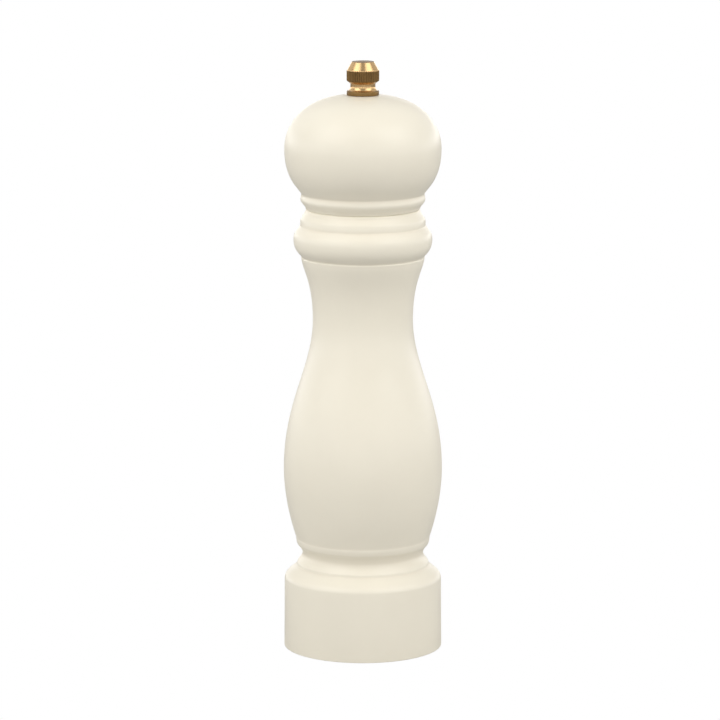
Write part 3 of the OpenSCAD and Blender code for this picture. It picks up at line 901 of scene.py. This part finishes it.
@dataclass
class TurnedBody:
    """The lower turning, from the foot to the joint, with its stepped bore."""

    foot_taper: float = 0.4
    foot_wall: float = 25.8
    foot_round: float = 0.4
    shoulder: tuple[float, float] = (-4.7, 5.4)
    step: tuple[float, float] = (-0.05, 0.8)
    groove_r: float = 22.6
    groove_rise: float = 4.4
    lip_r: float = 24.4
    lip_rise: float = 4.7
    belly_z: float = 67.8
    waist_r: float = 18.6
    waist_drop: float = 41.3
    neck_r: float = 22.8
    neck_drop: float = 17.6
    collar_r: float = 25.7
    collar_drop: float = 11.0
    bead_r: float = 23.15
    bead_drop: float = 6.0
    joint_r: float = 21.15
    socket_r: float = 16.0
    socket_z: float = 154.4
    hopper_r: float = 13.5
    seat_gap: float = 0.1
    lacquered_rim: float = 2.0
    columns: int = 224
    lip_ends: tuple = ((0, -1.4), (0.6, 1.4))
    neck_ends: tuple = ((0, -0.9), (0.7, 0.9))
    bead_start: tuple[float, float] = (-0.1, 2.3)
    spans: tuple = (
        ((0, 2.4), (-1.5, 2.1), 18), ((0, 0.3), (0, 0.3), 5), ((-0.8, 1.2), (-0.1, 1.6), 14),
        ((0.1, 1.3), (0.9, 0.9), 10), ((0.45, 0.5), (-0.1, 0.6), 10),
        ((2.5, 7.3), (0, 9.2), 24), ((0, 25.6), (0, 18), 40), ((0, 13.8), (0.5, 4.2), 24),
        ((0.25, 0.6), (0.1, 0.5), 5), ((0.3, 0.3), (0.5, 0.3), 5), ((1.2, 1.3), (0, 3.1), 16),
        ((0, 2.9), (-0.6, 1.3), 16), ((0.1, 0.5), (-0.15, 0.7), 6), ((-0.2, 1.1), (0, 1.5), 12),
    )

    def outline(self) -> Array:
        """Returns the outer outline, from the foot's lower edge to just under the joint."""
        foot_r, top = half_width("body"), high("body")
        wall = np.array([foot_r - self.foot_taper / 2, self.foot_wall])
        step = wall + self.shoulder
        ledge = step + self.step
        groove = np.array([self.groove_r, step[1] + self.groove_rise])
        lip = np.array([self.lip_r, groove[1] + self.lip_rise])
        lip_foot, lip_top = lip + self.lip_ends
        belly = np.array([foot_r, self.belly_z])
        waist = np.array([self.waist_r, top - self.waist_drop])
        neck = np.array([self.neck_r, top - self.neck_drop])
        neck_foot, neck_top = neck + self.neck_ends
        collar = np.array([self.collar_r, top - self.collar_drop])
        over_collar = np.array([self.bead_r, top - self.bead_drop])
        bead = over_collar + self.bead_start
        joint = np.array([self.joint_r, top])
        foot = np.array([[foot_r - self.foot_round, 0], [foot_r, 0], wall])
        corners = [wall, step, ledge, groove, lip_foot, lip_top, belly, waist, neck_foot, neck,
                   neck_top, collar, over_collar, bead, joint]
        edge = softened(foot, self.foot_round, 4, closed=False)
        return np.vstack([edge, chained(corners, self.spans)[:-1]])

    def bore(self) -> Array:
        """Returns the inner outline, from the rim of the socket down to the recess in the foot."""
        top, seat_z, recess_z = high("body"), high("bridge"), high("base_ring")
        seat_r = half_width("ring_burr") + self.seat_gap
        recess_r = half_width("base_ring") + self.seat_gap
        corners = np.array([
            [self.joint_r - RIM_EDGE, top], [self.socket_r, top], [self.socket_r, self.socket_z],
            [self.hopper_r, self.socket_z], [self.hopper_r, seat_z], [seat_r, seat_z],
            [seat_r, recess_z], [recess_r, recess_z], [recess_r, 0.0],
            [half_width("body") - self.foot_round, 0.0],
        ])
        return refined(softened(corners, RIM_EDGE, 3, closed=False)[:-1], 2.0)

    def piece(self) -> Piece:
        """Builds the turning: lacquered outside, bare inside."""
        outer, inner = self.outline(), self.bore()
        bare = (inner[:, 0] < self.socket_r + self.lacquered_rim) | (inner[:, 1] < self.socket_z)
        bands = np.concatenate([
            np.full(len(outer), Band.FIRST.value),
            np.where(bare, Band.SECOND.value, Band.FIRST.value),
        ])
        hollow = np.concatenate([concave(outer), 0.4 * concave(inner)])
        surface = turned(np.vstack([outer, inner]), self.columns, bands=bands, hollow=hollow)
        return Piece("body_turning", "body", Slot.LACQUER, surface, WOOD_CREASE)


@dataclass
class TurnedHead:
    """The upper turning: the ball, its bead, and the tenon that turns in the body."""

    bead_r: float = 23.1
    bead_rise: float = 3.8
    crease_r: float = 22.8
    crease_rise: float = 5.8
    wide_rise: float = 22.3
    joint_r: float = 21.15
    tenon_r: float = 15.7
    tenon_edge: float = 1.0
    lacquered_rim: float = 2.0
    rim_gap: float = 0.04
    hole_r: float = 4.593
    columns: int = 224
    spans: tuple = (((0, 1.6), (0.1, 1.7), 16), ((0, 0.6), (0.1, 0.5), 8),
                    ((1, 2.2), (0, 11.2), 30), ((0, 12.8), (-12.6, 0), 50))

    def outline(self) -> Array:
        """Returns the outer outline, from just over the joint to the hole in the crown."""
        floor = high("body") + self.rim_gap
        joint = np.array([self.joint_r, floor])
        bead = np.array([self.bead_r, floor + self.bead_rise])
        crease = np.array([self.crease_r, floor + self.crease_rise])
        wide = np.array([half_width("head"), floor + self.wide_rise])
        crown = np.array([self.hole_r, high("head")])
        return chained([joint, bead, crease, wide, crown], self.spans)

    def tenon(self) -> Array:
        """Returns the outline from the hole's lower end, round the tenon, to the joint."""
        floor, foot = high("body") + self.rim_gap, low("head")
        corners = [[self.hole_r, foot], [self.tenon_r, foot], [self.tenon_r, floor],
                   [self.joint_r - RIM_EDGE, floor]]
        edges = np.array([[0.0], [self.tenon_edge], [RIM_EDGE], [0.0]])
        return refined(softened(corners, edges, 5, closed=False), 2.0)

    def piece(self) -> Piece:
        """Builds the turning: lacquered outside, bare on its tenon and in its hole."""
        tenon, outer = self.tenon(), self.outline()
        hole = np.array([[self.hole_r, high("head") - RIM_EDGE], [self.hole_r, high("body")]])
        rim = 1 + int((tenon[:, 0] > self.tenon_r + self.lacquered_rim).sum())
        bands = np.repeat([Band.SECOND.value, Band.FIRST.value, Band.SECOND.value],
                          [len(tenon) - rim, len(outer) + rim, len(hole)])
        hollow = np.concatenate([np.zeros(len(tenon)), concave(outer), np.zeros(len(hole))])
        surface = turned(np.vstack([tenon, outer, hole]), self.columns, bands=bands, hollow=hollow)
        return Piece("head_turning", "head", Slot.LACQUER, surface, WOOD_CREASE)


@dataclass
class TurnedWood:
    """Both turnings of the mill."""

    body: TurnedBody
    head: TurnedHead

    def pieces(self) -> list[Piece]:
        """Builds the body and the head."""
        return [self.body.piece(), self.head.piece()]


# --- brass


@dataclass
class GrindKnob:
    """The brass nut that sets the grind, with its knurled band, and the washer under it."""

    neck_r: float = 4.6
    flare: float = 0.9
    flare_rise: float = 1.5
    chamfer: float = 1.1
    band_h: float = 3.7
    cone_h: float = 3.3
    top_r: float = 4.1
    bore_r: float = 2.6
    roof: float = 2.0
    edge: float = 0.22
    grooves: int = 48
    groove_depth: float = 0.22
    groove_share: float = 0.85
    washer_hole_r: float = 2.85
    washer_edge: float = 0.35

    def knurl(self, radius: Array, height: Array, angle: Array) -> Array:
        """Cuts upright V grooves: no point on the band lies outside band_r less the groove."""
        band_r, top = half_width("adjusting_knob"), high("adjusting_knob")
        groove = v_groove(angle * self.grooves / (2 * math.pi) + 0.5, self.groove_share)
        cone_z = top - self.cone_h
        inside = (height > cone_z - self.band_h - 0.5) & (height < cone_z + 0.5)
        return np.where(inside, np.minimum(radius, band_r - self.groove_depth * groove), radius)

    def knob(self) -> Piece:
        """Builds the knob."""
        foot, top = low("adjusting_knob"), high("adjusting_knob")
        band_r = half_width("adjusting_knob")
        cone_z = top - self.cone_h
        band_z = cone_z - self.band_h
        tip = 0.25
        bore = softened([[tip, top - self.roof], [self.bore_r, top - self.roof],
                         [self.bore_r, foot], [self.neck_r + self.flare, foot]],
                        self.edge, closed=False)
        flare = bow(bore[-1], (-0.5, 0.2), (self.neck_r, foot + self.flare_rise), (0, 0.5), 12)
        under = softened([flare[-1], [self.neck_r, band_z - self.chamfer], [band_r, band_z],
                          [band_r, cone_z], [self.top_r, top], [tip, top]],
                         self.edge, 4, closed=False)
        section = np.vstack([bore, flare, refined(under[1:], 0.16)])
        radius, height = section.T
        gripped = (radius > self.neck_r + 0.2) & (height >= band_z - 0.4) & (height < cone_z - 0.02)
        flat = (height > top - 0.5 * self.edge) & (radius < self.top_r)
        # painted shade: the knurled band and the flat top wear the darker copy of the brass
        bands = np.where(gripped | flat, Band.SECOND.value, Band.FIRST.value)
        surface = turned(section, 10 * self.grooves, closed=False, bands=bands, cut=self.knurl)
        return Piece("grind_knob", "adjusting_knob", Slot.BRASS, surface)

    def washer(self) -> Piece:
        """Builds the washer, with rounded edges."""
        foot, top, rim = reach("knob_washer")
        corners = [[self.washer_hole_r, foot], [rim, foot], [rim, top], [self.washer_hole_r, top]]
        surface = turned(softened(corners, self.washer_edge, 5), 160)
        # painted shade: the washer wears only the darker copy of the brass
        return Piece("knob_seat", "knob_washer", Slot.BRASS, surface, only=Band.SECOND)

    def pieces(self) -> list[Piece]:
        """Builds the knob and its washer."""
        return [self.knob(), self.washer()]


# --- screws and rivets


@dataclass(frozen=True)
class WoodScrew:
    """A wood screw that points up: a domed head with a cross recess, and a threaded shank."""

    head_r: float = 2.6
    head_h: float = 1.5
    shank_r: float = 1.3
    length: float = 11.0
    tip: float = 2.0
    thread_depth: float = 0.32
    pitch: float = 1.1
    recess_arm: float = 1.55
    recess_half: float = 0.34
    recess_depth: float = 1.0
    recess_slope: float = 0.1
    columns: int = 96
    shank_columns: int = 24
    row_step: float = 0.12

    def recess(self, x: Array, y: Array) -> Array:
        """Depth of the cross: deepest in the middle, running out along each arm."""
        along, across = np.maximum(np.abs(x), np.abs(y)), np.minimum(np.abs(x), np.abs(y))
        run = np.clip((self.recess_arm - along) / (0.55 * self.recess_arm), 0, 1)
        wall = eased(across, self.recess_half - self.recess_slope, self.recess_half)
        return self.recess_depth * run * (1 - wall)

    def head(self, seat: float, turn: float) -> Surface:
        """Builds the head, whose flat side is at the seat's height."""
        face = seat - self.head_h
        flat_r = 0.6 * self.head_r
        dome = bow((flat_r, face), (0.5, 0), (self.head_r, seat - 0.55 * self.head_h), (0, 0.3), 8)
        rows = np.vstack([refined(np.array([[0.06, face], [flat_r, face]]), 0.07), dome,
                          [[self.head_r, seat], [self.shank_r, seat]]])
        angle = full_turn(self.columns)[None, :]
        x, y = rows[:, [0]] * np.cos(angle), rows[:, [0]] * np.sin(angle)
        tilt = np.cos(turn) * x + np.sin(turn) * y, np.cos(turn) * y - np.sin(turn) * x
        deep = self.recess(*tilt) * (rows[:, [1]] < seat - 0.5 * self.head_h)
        z = rows[:, [1]] + deep
        return grid(np.stack([x, y, z], -1), closed=False, hollow=np.clip(deep / 0.4, 0, 1))

    def shank(self, seat: float) -> Surface:
        """Builds the shank: r less a V that winds once per pitch, drawn in to the point."""
        z = np.arange(seat - 0.2, seat + self.length, self.row_step)
        drawn = np.clip((seat + self.length - z) / self.tip, 0.06, 1)
        section = np.stack([self.shank_r * drawn, z], 1)

        def thread(radius: Array, height: Array, angle: Array) -> Array:
            groove = v_groove(height / self.pitch - angle / (2 * math.pi))
            return radius * (1 - self.thread_depth * groove * eased(height, seat + 2, seat + 3))

        return turned(section, self.shank_columns, closed=False, cut=thread)

    def surface(self, x: float, y: float, seat: float, turn: float) -> Surface:
        """Builds one whole screw at a place, its cross turned by an angle."""
        return placed(joined(self.head(seat, turn), self.shank(seat)), x, y)

    def pair(self, node: str, along_x: bool) -> Surface:
        """Builds the two screws of a node, on opposite sides of the axis."""
        side = 0 if along_x else 1
        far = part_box(node)[1][side] / MM - self.head_r
        seat = low(node) + self.head_h
        spots = ((far, 0.5), (-far, 1.15))
        return joined(*(self.surface(d if along_x else 0, 0 if along_x else d, seat, turn)
                        for d, turn in spots))


@dataclass
class DriveFitting:
    """The plate under the head that turns the shaft, and its two screws."""

    square_half: float = 3.1
    screw: WoodScrew = WoodScrew()

    def pieces(self) -> list[Piece]:
        """Builds the plate and its screws."""
        sheet = washer("drive_plate", square(self.square_half), edge=0.25)
        screws = self.screw.pair("drive_plate_screws", along_x=False)
        return [
            Piece("tenon_plate", "drive_plate", Slot.STAMPED, sheet),
            Piece("tenon_plate_screws", "drive_plate_screws", Slot.SCREW, screws),
        ]


# --- shaft


@dataclass
class DriveShaft:
    """The square shaft, from its round pilot to the thread inside the knob."""

    pilot_r: float = 2.0
    collar_z: float = 4.3
    clip_z: float = 5.1
    square_z: float = 5.8
    thread_z: float = 202.7
    groove_r: float = 2.4
    thread_r: float = 2.5
    pitch: float = 0.8
    thread_depth: float = 0.45
    corner: float = 0.35
    bevel: float = 0.6

    def cut(self, radius: Array, height: Array, angle: Array) -> Array:
        """Squares the long middle and winds the thread round the top."""
        half = half_width("drive_shaft")
        middle = (height > self.square_z - 0.01) & (height < self.thread_z + 0.01)
        squared = radius * square(half, self.corner)(angle) / half
        radius = np.where(middle & (radius > self.thread_r + 0.1), squared, radius)
        groove = v_groove(height / self.pitch - angle / (2 * math.pi), 0.9)
        start, end = self.thread_z + 0.6, high("drive_shaft") - 0.1
        run = eased(height, start, start + 0.6) * (1 - eased(height, end - 0.4, end))
        return radius - self.thread_depth * groove * run * (height > self.thread_z)

    def pieces(self) -> list[Piece]:
        """Builds the shaft."""
        foot, top, half = reach("drive_shaft")
        tip, edge = 0.15, 0.12
        lower = softened([
            [tip, foot], [self.pilot_r - 0.3, foot], [self.pilot_r, foot + 0.3],
            [self.pilot_r, self.collar_z], [half, self.collar_z], [half, self.clip_z],
            [self.groove_r, self.clip_z], [self.groove_r, self.square_z], [half, self.square_z],
            [half, self.thread_z - 0.5], [self.thread_r + 0.15, self.thread_z],
            [self.thread_r, self.thread_z + 0.05],
        ], edge, closed=False)
        upper = np.array([[self.thread_r, self.thread_z + 0.06], [self.thread_r, top - self.bevel],
                          [self.thread_r - self.bevel, top], [tip, top]])
        section = np.vstack([refined(lower, 10.0), refined(upper, 0.1)])
        surface = turned(section, 128, closed=False, cut=self.cut)
        return [Piece("square_shaft", "drive_shaft", Slot.SHAFT, surface)]


# --- burr mill


@dataclass
class BurrMill:
    """The cutting set: two burrs, the bridge over them, and what presses them together."""

    mouth_r: float = 12.5
    throat_r: float = 10.7
    ring_top_r: float = 12.0
    grind_h: float = 4.0
    fine_teeth: int = 36
    coarse_teeth: int = 9
    fine_depth: float = 0.6
    coarse_depth: float = 1.3
    lean: float = math.radians(22)
    male_cone_r: float = 10.28
    male_foot_r: float = 11.81
    male_top_r: float = 6.49
    square_half: float = 3.1
    hub_r: float = 6.49
    hole_r: float = 4.593
    bridge_half: float = 3.5
    rivet_r: float = 1.0
    rivet_sink: float = 0.8
    rivet_place: float = 13.3
    wire_r: float = 0.5
    spring_r: float = 5.293
    turns: float = 3.5
    clip_hole_r: float = 2.4
    clip_mouth: float = math.radians(40)
    cup_floor: float = 0.8
    cup_rim: float = 0.5
    columns: int = 360
    row_step: float = 0.3
    coil_steps: int = 44
    wire_columns: int = 14

    def teeth(self, height: Array, angle: Array, foot: float, side: int) -> Array:
        """Depth of the teeth's grooves.

        The grinding cone has fine V grooves and the throat over it coarse ones.  Both lean: the
        phase is count x angle / one turn, and grows by count x tan(lean) / girth per millimetre.

        Args:
            height: Heights.
            angle: Angles.
            foot: Height of the burr's lower edge.
            side: 1 or -1, the way that the grooves lean.

        Returns:
            The depths, in millimetres.
        """
        rise = height - foot
        twist = side * math.tan(self.lean) * rise / (2 * math.pi * self.throat_r)
        turn = angle / (2 * math.pi)
        fine = self.fine_depth * v_groove(self.fine_teeth * (turn + twist), 0.9)
        coarse = self.coarse_depth * v_groove(self.coarse_teeth * (turn + 1.6 * twist), 0.8)
        over = eased(rise, self.grind_h - 0.8, self.grind_h + 0.6)
        return fine * (1 - over) + coarse * over

    def ring(self) -> Piece:
        """Builds the ring burr, toothed inside."""
        foot, top, rim = reach("ring_burr")
        throat_z = foot + self.grind_h
        corners = [[self.mouth_r, foot], [rim, foot], [rim, top], [self.ring_top_r, top],
                   [self.throat_r, throat_z]]

        def cut(radius: Array, height: Array, angle: Array) -> Array:
            wall = np.interp(height, [foot, throat_z, top],
                             [self.mouth_r, self.throat_r, self.ring_top_r])
            deep = self.teeth(height, angle, foot, 1) * (1 - eased(height, top - 3, top - 0.5))
            return np.maximum(radius, wall + deep)

        closed = softened(corners, 0.25)
        section = refined(np.vstack([closed, closed[:1]]), self.row_step)[:-1]
        surface = turned(section, self.columns, cut=cut)
        return Piece("ring_cutter", "ring_burr", Slot.BURR, surface, BURR_CREASE)

    def male(self) -> Piece:
        """Builds the male burr, toothed outside and square inside."""
        foot, top = low("male_burr"), high("male_burr")
        cone_z = low("ring_burr") + self.grind_h
        half = self.square_half
        corners = [[half, foot], [self.male_foot_r, foot], [self.male_cone_r, cone_z],
                   [self.male_top_r, top], [half, top]]

        def cut(radius: Array, height: Array, angle: Array) -> Array:
            wall = np.interp(height, [foot, cone_z, top],
                             [self.male_foot_r, self.male_cone_r, self.male_top_r])
            deep = self.teeth(height, angle, foot, -1) * (1 - eased(height, top - 1.5, top - 0.2))
            squared = radius + (square(half)(angle) - half) * np.clip(2 - radius / half, 0, 1)
            return np.where(radius < 2 * half, squared, np.minimum(radius, wall - deep))

        closed = softened(corners, 0.2)
        section = refined(np.vstack([closed, closed[:1]]), self.row_step)[:-1]
        surface = turned(section, self.columns, cut=cut)
        return Piece("male_cutter", "male_burr", Slot.BURR, surface, BURR_CREASE)

    def bridge(self) -> list[Piece]:
        """Builds the strap across the ring burr and its two rivets."""
        bottom, top, rim = reach("bridge")
        surface = plate(flat_section(bottom, top, 0.25, 14), circle(self.hole_r),
                        strap(self.bridge_half, rim, self.hub_r), 240)
        wide = self.rivet_r + self.rivet_sink
        corners = [[0.1, low("bridge_rivets")], [self.rivet_r, low("bridge_rivets")],
                   [self.rivet_r, top - self.rivet_sink], [wide, top], [wide - 0.3, top + 0.12],
                   [0.5, top + 0.16], [0.1, top]]
        rivet = turned(softened(corners, 0.12, closed=False), 48, closed=False)
        both = joined(placed(rivet, self.rivet_place, 0), placed(rivet, -self.rivet_place, 0))
        return [
            Piece("cutter_bridge", "bridge", Slot.STAMPED, surface),
            Piece("cutter_rivets", "bridge_rivets", Slot.SCREW, both),
        ]

    def coil(self) -> Surface:
        """Builds the spring's wire, carried along a helix whose ends lie nearly flat.

        The wire's middle is at the angle 2 pi t after t turns; its height is the running sum of
        a pitch that is one wire thick near both ends and larger between them.
        """
        foot, top = low("burr_spring") + self.wire_r, high("burr_spring") - self.wire_r
        t = np.linspace(0, self.turns, int(self.turns * self.coil_steps) + 1)
        rate = 0.35 + eased(np.minimum(t, self.turns - t), 0.45, 0.9)
        climb = np.concatenate([[0], np.cumsum((rate[1:] + rate[:-1]) / 2)])
        middle = (foot + (top - foot) * climb / climb[-1])[:, None]
        angle, w = 2 * math.pi * t[:, None], -full_turn(self.wire_columns)[None, :]
        radius = self.spring_r + self.wire_r * np.cos(w)
        return grid(polar(radius, angle, middle + self.wire_r * np.sin(w)), closed=False)

    def spring(self) -> Piece:
        """Builds the spring."""
        return Piece("cutter_spring", "burr_spring", Slot.SPRING, self.coil(),
                     between=("thrust", "spindle"))

    def cup(self) -> Piece:
        """Builds the cup that centres the spring on the male burr."""
        foot, top, rim = reach("spring_cup")
        floor = foot + self.cup_floor
        inside, half = rim - self.cup_rim, self.square_half
        corners = [[half, foot], [rim, foot], [rim, top], [inside, top], [inside, floor],
                   [half, floor]]

        def cut(radius: Array, height: Array, angle: Array) -> Array:
            fade = np.clip((inside - radius) / (inside - half), 0, 1)
            return radius + (square(half)(angle) - half) * fade

        surface = turned(softened(corners, 0.15), 128, cut=cut)
        return Piece("spring_seat", "spring_cup", Slot.STAMPED, surface)

    def clip(self) -> Piece:
        """Builds the open clip: a rounded bar carried round most of a turn."""
        foot, top, rim = low("shaft_clip"), high("shaft_clip"), -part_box("shaft_clip")[0].x / MM
        corners = [[self.clip_hole_r, foot], [self.clip_hole_r, top], [rim, top], [rim, foot]]
        bar = softened(corners, 0.12)[None, :, :]
        angle = np.linspace(self.clip_mouth, 2 * math.pi - self.clip_mouth, 90)[:, None]
        surface = grid(polar(bar[..., 0], angle, bar[..., 1]), closed=False)
        return Piece("end_clip", "shaft_clip", Slot.SPRING, surface)

    def pieces(self) -> list[Piece]:
        """Builds the whole cutting set."""
        hole = square(self.square_half)
        return [
            self.ring(), self.male(), *self.bridge(),
            self.spring(), self.cup(), self.clip(),
            Piece("spring_thrust", "thrust_washer", Slot.STAMPED, washer("thrust_washer", hole)),
            Piece("cutter_washer", "burr_washer", Slot.STAMPED, washer("burr_washer", hole)),
        ]


@dataclass
class FootFittings:
    """What closes the foot: the base ring, the bar across it, and their screws."""

    ring_hole_r: float = 13.2
    line_r: float = 15.0
    line_depth: float = 0.3
    bar_half: float = 4.0
    bar_t: float = 1.2
    bar_rise: float = 1.9
    crank: tuple[float, float] = (11.0, 13.0)
    pilot_hole_r: float = 2.1
    screw: WoodScrew = WoodScrew()

    def ring(self) -> Piece:
        """Builds the base ring, with a line pressed into its lower face."""
        foot, top, rim = reach("base_ring")
        line, deep = self.line_r, self.line_depth
        corners = [[self.ring_hole_r, foot], [line - 0.8, foot], [line, foot + deep],
                   [line + 0.8, foot], [rim, foot], [rim, top], [self.ring_hole_r, top]]
        surface = turned(softened(corners, 0.3, 4), 192)
        return Piece("foot_ring", "base_ring", Slot.STAMPED, surface)

    def bar(self) -> Piece:
        """Builds the retaining bar, cranked up at both ends."""
        foot = low("retaining_bar")

        def lift(x: Array, y: Array) -> Array:
            return self.bar_rise * eased(np.abs(x), *self.crank)

        section = flat_section(foot, foot + self.bar_t, 0.3, 44)
        surface = plate(section, circle(self.pilot_hole_r),
                        strap(self.bar_half, half_width("retaining_bar")), 240, lift)
        return Piece("foot_bar", "retaining_bar", Slot.STAMPED, surface)

    def pieces(self) -> list[Piece]:
        """Builds the ring, the bar and the four screws."""
        ring_screws = self.screw.pair("base_ring_screws", along_x=False)
        bar_screws = self.screw.pair("retaining_bar_screws", along_x=True)
        return [
            self.ring(), self.bar(),
            Piece("foot_ring_screws", "base_ring_screws", Slot.SCREW, ring_screws),
            Piece("foot_bar_screws", "retaining_bar_screws", Slot.SCREW, bar_screws),
        ]


# --- studio


@dataclass(frozen=True)
class Softbox:
    """A soft square light that faces the mill, placed by its direction from it."""

    name: str
    azimuth: float
    elevation: float
    distance: float
    width: float
    height: float
    power: float

    def build(self, aim: tuple[float, float, float]) -> None:
        """Makes the light; the azimuth is 0 on the camera's side and grows to the right."""
        light = bpy.data.lights.new(self.name, "AREA")
        light.shape, light.size, light.size_y = "RECTANGLE", self.width, self.height
        light.energy = self.power
        lamp = bpy.data.objects.new(self.name, light)
        turn, rise = math.radians(self.azimuth), math.radians(self.elevation)
        lamp.location = (
            aim[0] + self.distance * math.cos(rise) * math.sin(turn),
            aim[1] - self.distance * math.cos(rise) * math.cos(turn),
            aim[2] + self.distance * math.sin(rise),
        )
        lamp.rotation_euler = (math.pi / 2 - rise, 0.0, turn)
        bpy.context.scene.collection.objects.link(lamp)


@dataclass
class Studio:
    """A pale floor, soft lights and the camera."""

    floor_colour: tuple = rgb(0.4, 0.4, 0.4)
    floor_half: float = 9.0
    floor_lap: float = 0.0005
    floor_drop: float = 1e-4
    floor_rings: int = 12
    floor_columns: int = 96
    floor_roughness: float = 0.9
    floor_mottle: float = 0.98
    air_bands: tuple = ((-1.0, 0.8), (-0.02, 0.8), (0.0, 3.2), (0.25, 0.52), (1.0, 0.52))
    aim_height: float = 0.1086
    aim_x: float = -0.00107
    distance: float = 1.45
    elevation: float = 10.3
    lens: float = 194.8
    lights: tuple[Softbox, ...] = (
        Softbox("left_front", -58, 40, 1.3, 1.0, 0.9, 5.8),
        Softbox("right_front", 58, 40, 1.3, 1.0, 0.9, 5.5),
        Softbox("left_back", -130, 40, 1.3, 1.0, 0.9, 1.1),
        Softbox("right_back", 130, 40, 1.3, 1.0, 0.9, 0.7),
    )

    def floor(self) -> None:
        """Lays the floor a hair under the foot: a wide ring, open under the mill.

        The foot covers the opening, which lets light reach the mill's underside.  The floor
        looks white to the camera from above, and is clear from below.
        """
        hole = half_width("body") * MM - self.floor_lap
        radius = np.geomspace(hole, self.floor_half, self.floor_rings)[:, None]
        points = polar(radius, full_turn(self.floor_columns)[None, :], -self.floor_drop)
        number = np.arange(points[..., 0].size).reshape(points.shape[:2])
        near, far = number[:-1], number[1:]
        faces = np.stack([near, far, np.roll(far, -1, 1), np.roll(near, -1, 1)], -1)
        mesh = bpy.data.meshes.new("studio_floor")
        mesh.from_pydata(points.reshape(-1, 3).tolist(), [], faces.reshape(-1, 4).tolist())
        floor = bpy.data.objects.new("studio_floor", mesh)
        bpy.context.scene.collection.objects.link(floor)
        material, nodes, shader, place = start_material("pale_floor")
        mottle = nodes.group(Effects.MOTTLE.tree(), {"Vector": place, "Cloud Scale": 3.0,
                                                     "Dimple Scale": 300.0})
        duller = scaled(self.floor_colour, self.floor_mottle)
        base = nodes.colours(mottle["Clouds"], self.floor_colour, duller)
        nodes.feed(shader, {"Base Color": base, "Roughness": self.floor_roughness})
        seen = nodes.add("Emission", {"Color": rgb(1, 1, 1)}).outputs[0]
        clear = nodes.add("BsdfTransparent").outputs[0]
        camera = nodes.add("LightPath").outputs["Is Camera Ray"]
        below = nodes.add("NewGeometry").outputs["Backfacing"]
        above = nodes.add("MixShader", {0: camera, 1: shader.outputs[0], 2: seen}).outputs[0]
        both = nodes.add("MixShader", {0: below, 1: above, 2: clear}).outputs[0]
        nodes.tree.links.new(both, material.node_tree.nodes["Material Output"].inputs[0])
        mesh.materials.append(material)

    def air(self) -> None:
        """Fills the studio with light that is the same all round and changes with height.

        The strength is read from air_bands, pairs of the direction's Z and a strength, with
        straight runs between them.  The camera sees plain white.
        """
        world = bpy.data.worlds.new("studio_air")
        world.use_nodes = True
        nodes = Nodes(world.node_tree)
        way = nodes.add("TexCoord").outputs["Generated"]
        height = nodes.add("SeparateXYZ", {0: way}).outputs[2]
        ramp = nodes.add("ValToRGB", {0: nodes.span(height, (-1.0, 1.0), UNIT)})
        most = max(strength for _, strength in self.air_bands)
        stops = ramp.color_ramp.elements
        while len(stops) < len(self.air_bands):
            stops.new(0.5)
        for stop, (z, strength) in zip(stops, self.air_bands):
            stop.position = (z + 1) / 2
            stop.color = rgb(*[strength / most] * 3)
        lit = world.node_tree.nodes["Background"]
        nodes.tree.links.new(ramp.outputs[0], lit.inputs["Color"])
        lit.inputs["Strength"].default_value = most
        seen = nodes.add("Background", {"Color": rgb(1, 1, 1)}).outputs[0]
        camera = nodes.add("LightPath").outputs["Is Camera Ray"]
        both = nodes.add("MixShader", {0: camera, 1: lit.outputs[0], 2: seen}).outputs[0]
        nodes.tree.links.new(both, world.node_tree.nodes["World Output"].inputs[0])
        bpy.context.scene.world = world
        bpy.context.scene.view_settings.view_transform = "Standard"

    def camera(self) -> None:
        """Stands the camera in front of the mill, a little above it, looking down at it."""
        lens = bpy.data.cameras.new("studio_camera")
        lens.lens = self.lens
        lens.clip_end = 50.0
        camera = bpy.data.objects.new("studio_camera", lens)
        tilt = math.radians(self.elevation)
        camera.location = (self.aim_x, -self.distance * math.cos(tilt),
                           self.aim_height + self.distance * math.sin(tilt))
        camera.rotation_euler = (math.pi / 2 - tilt, 0.0, 0.0)
        bpy.context.scene.collection.objects.link(camera)
        bpy.context.scene.camera = camera

    def build(self) -> None:
        """Sets up the floor, the air, the lights and the camera."""
        self.floor()
        self.air()
        for light in self.lights:
            light.build((0.0, 0.0, self.aim_height))
        self.camera()


def main() -> None:
    """Builds the studio and the mill's assemblies in order, and reports each piece."""
    logging.basicConfig(level=logging.INFO, format="%(message)s", stream=sys.stdout)
    Studio().build()
    finishes = all_finishes()
    assemblies = (TurnedWood(TurnedBody(), TurnedHead()), GrindKnob(), DriveFitting(),
                  DriveShaft(), BurrMill(), FootFittings())
    for assembly in assemblies:
        for piece in assembly.pieces():
            made = piece.build(finishes)
            bodies = piece.between or (frame["nodes"][piece.node]["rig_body"],)
            LOG.info("%s stands for %s on %s: %d faces", made.name, piece.node,
                     " and ".join(bodies), len(made.data.polygons))


if __name__ == "__main__":
    main()
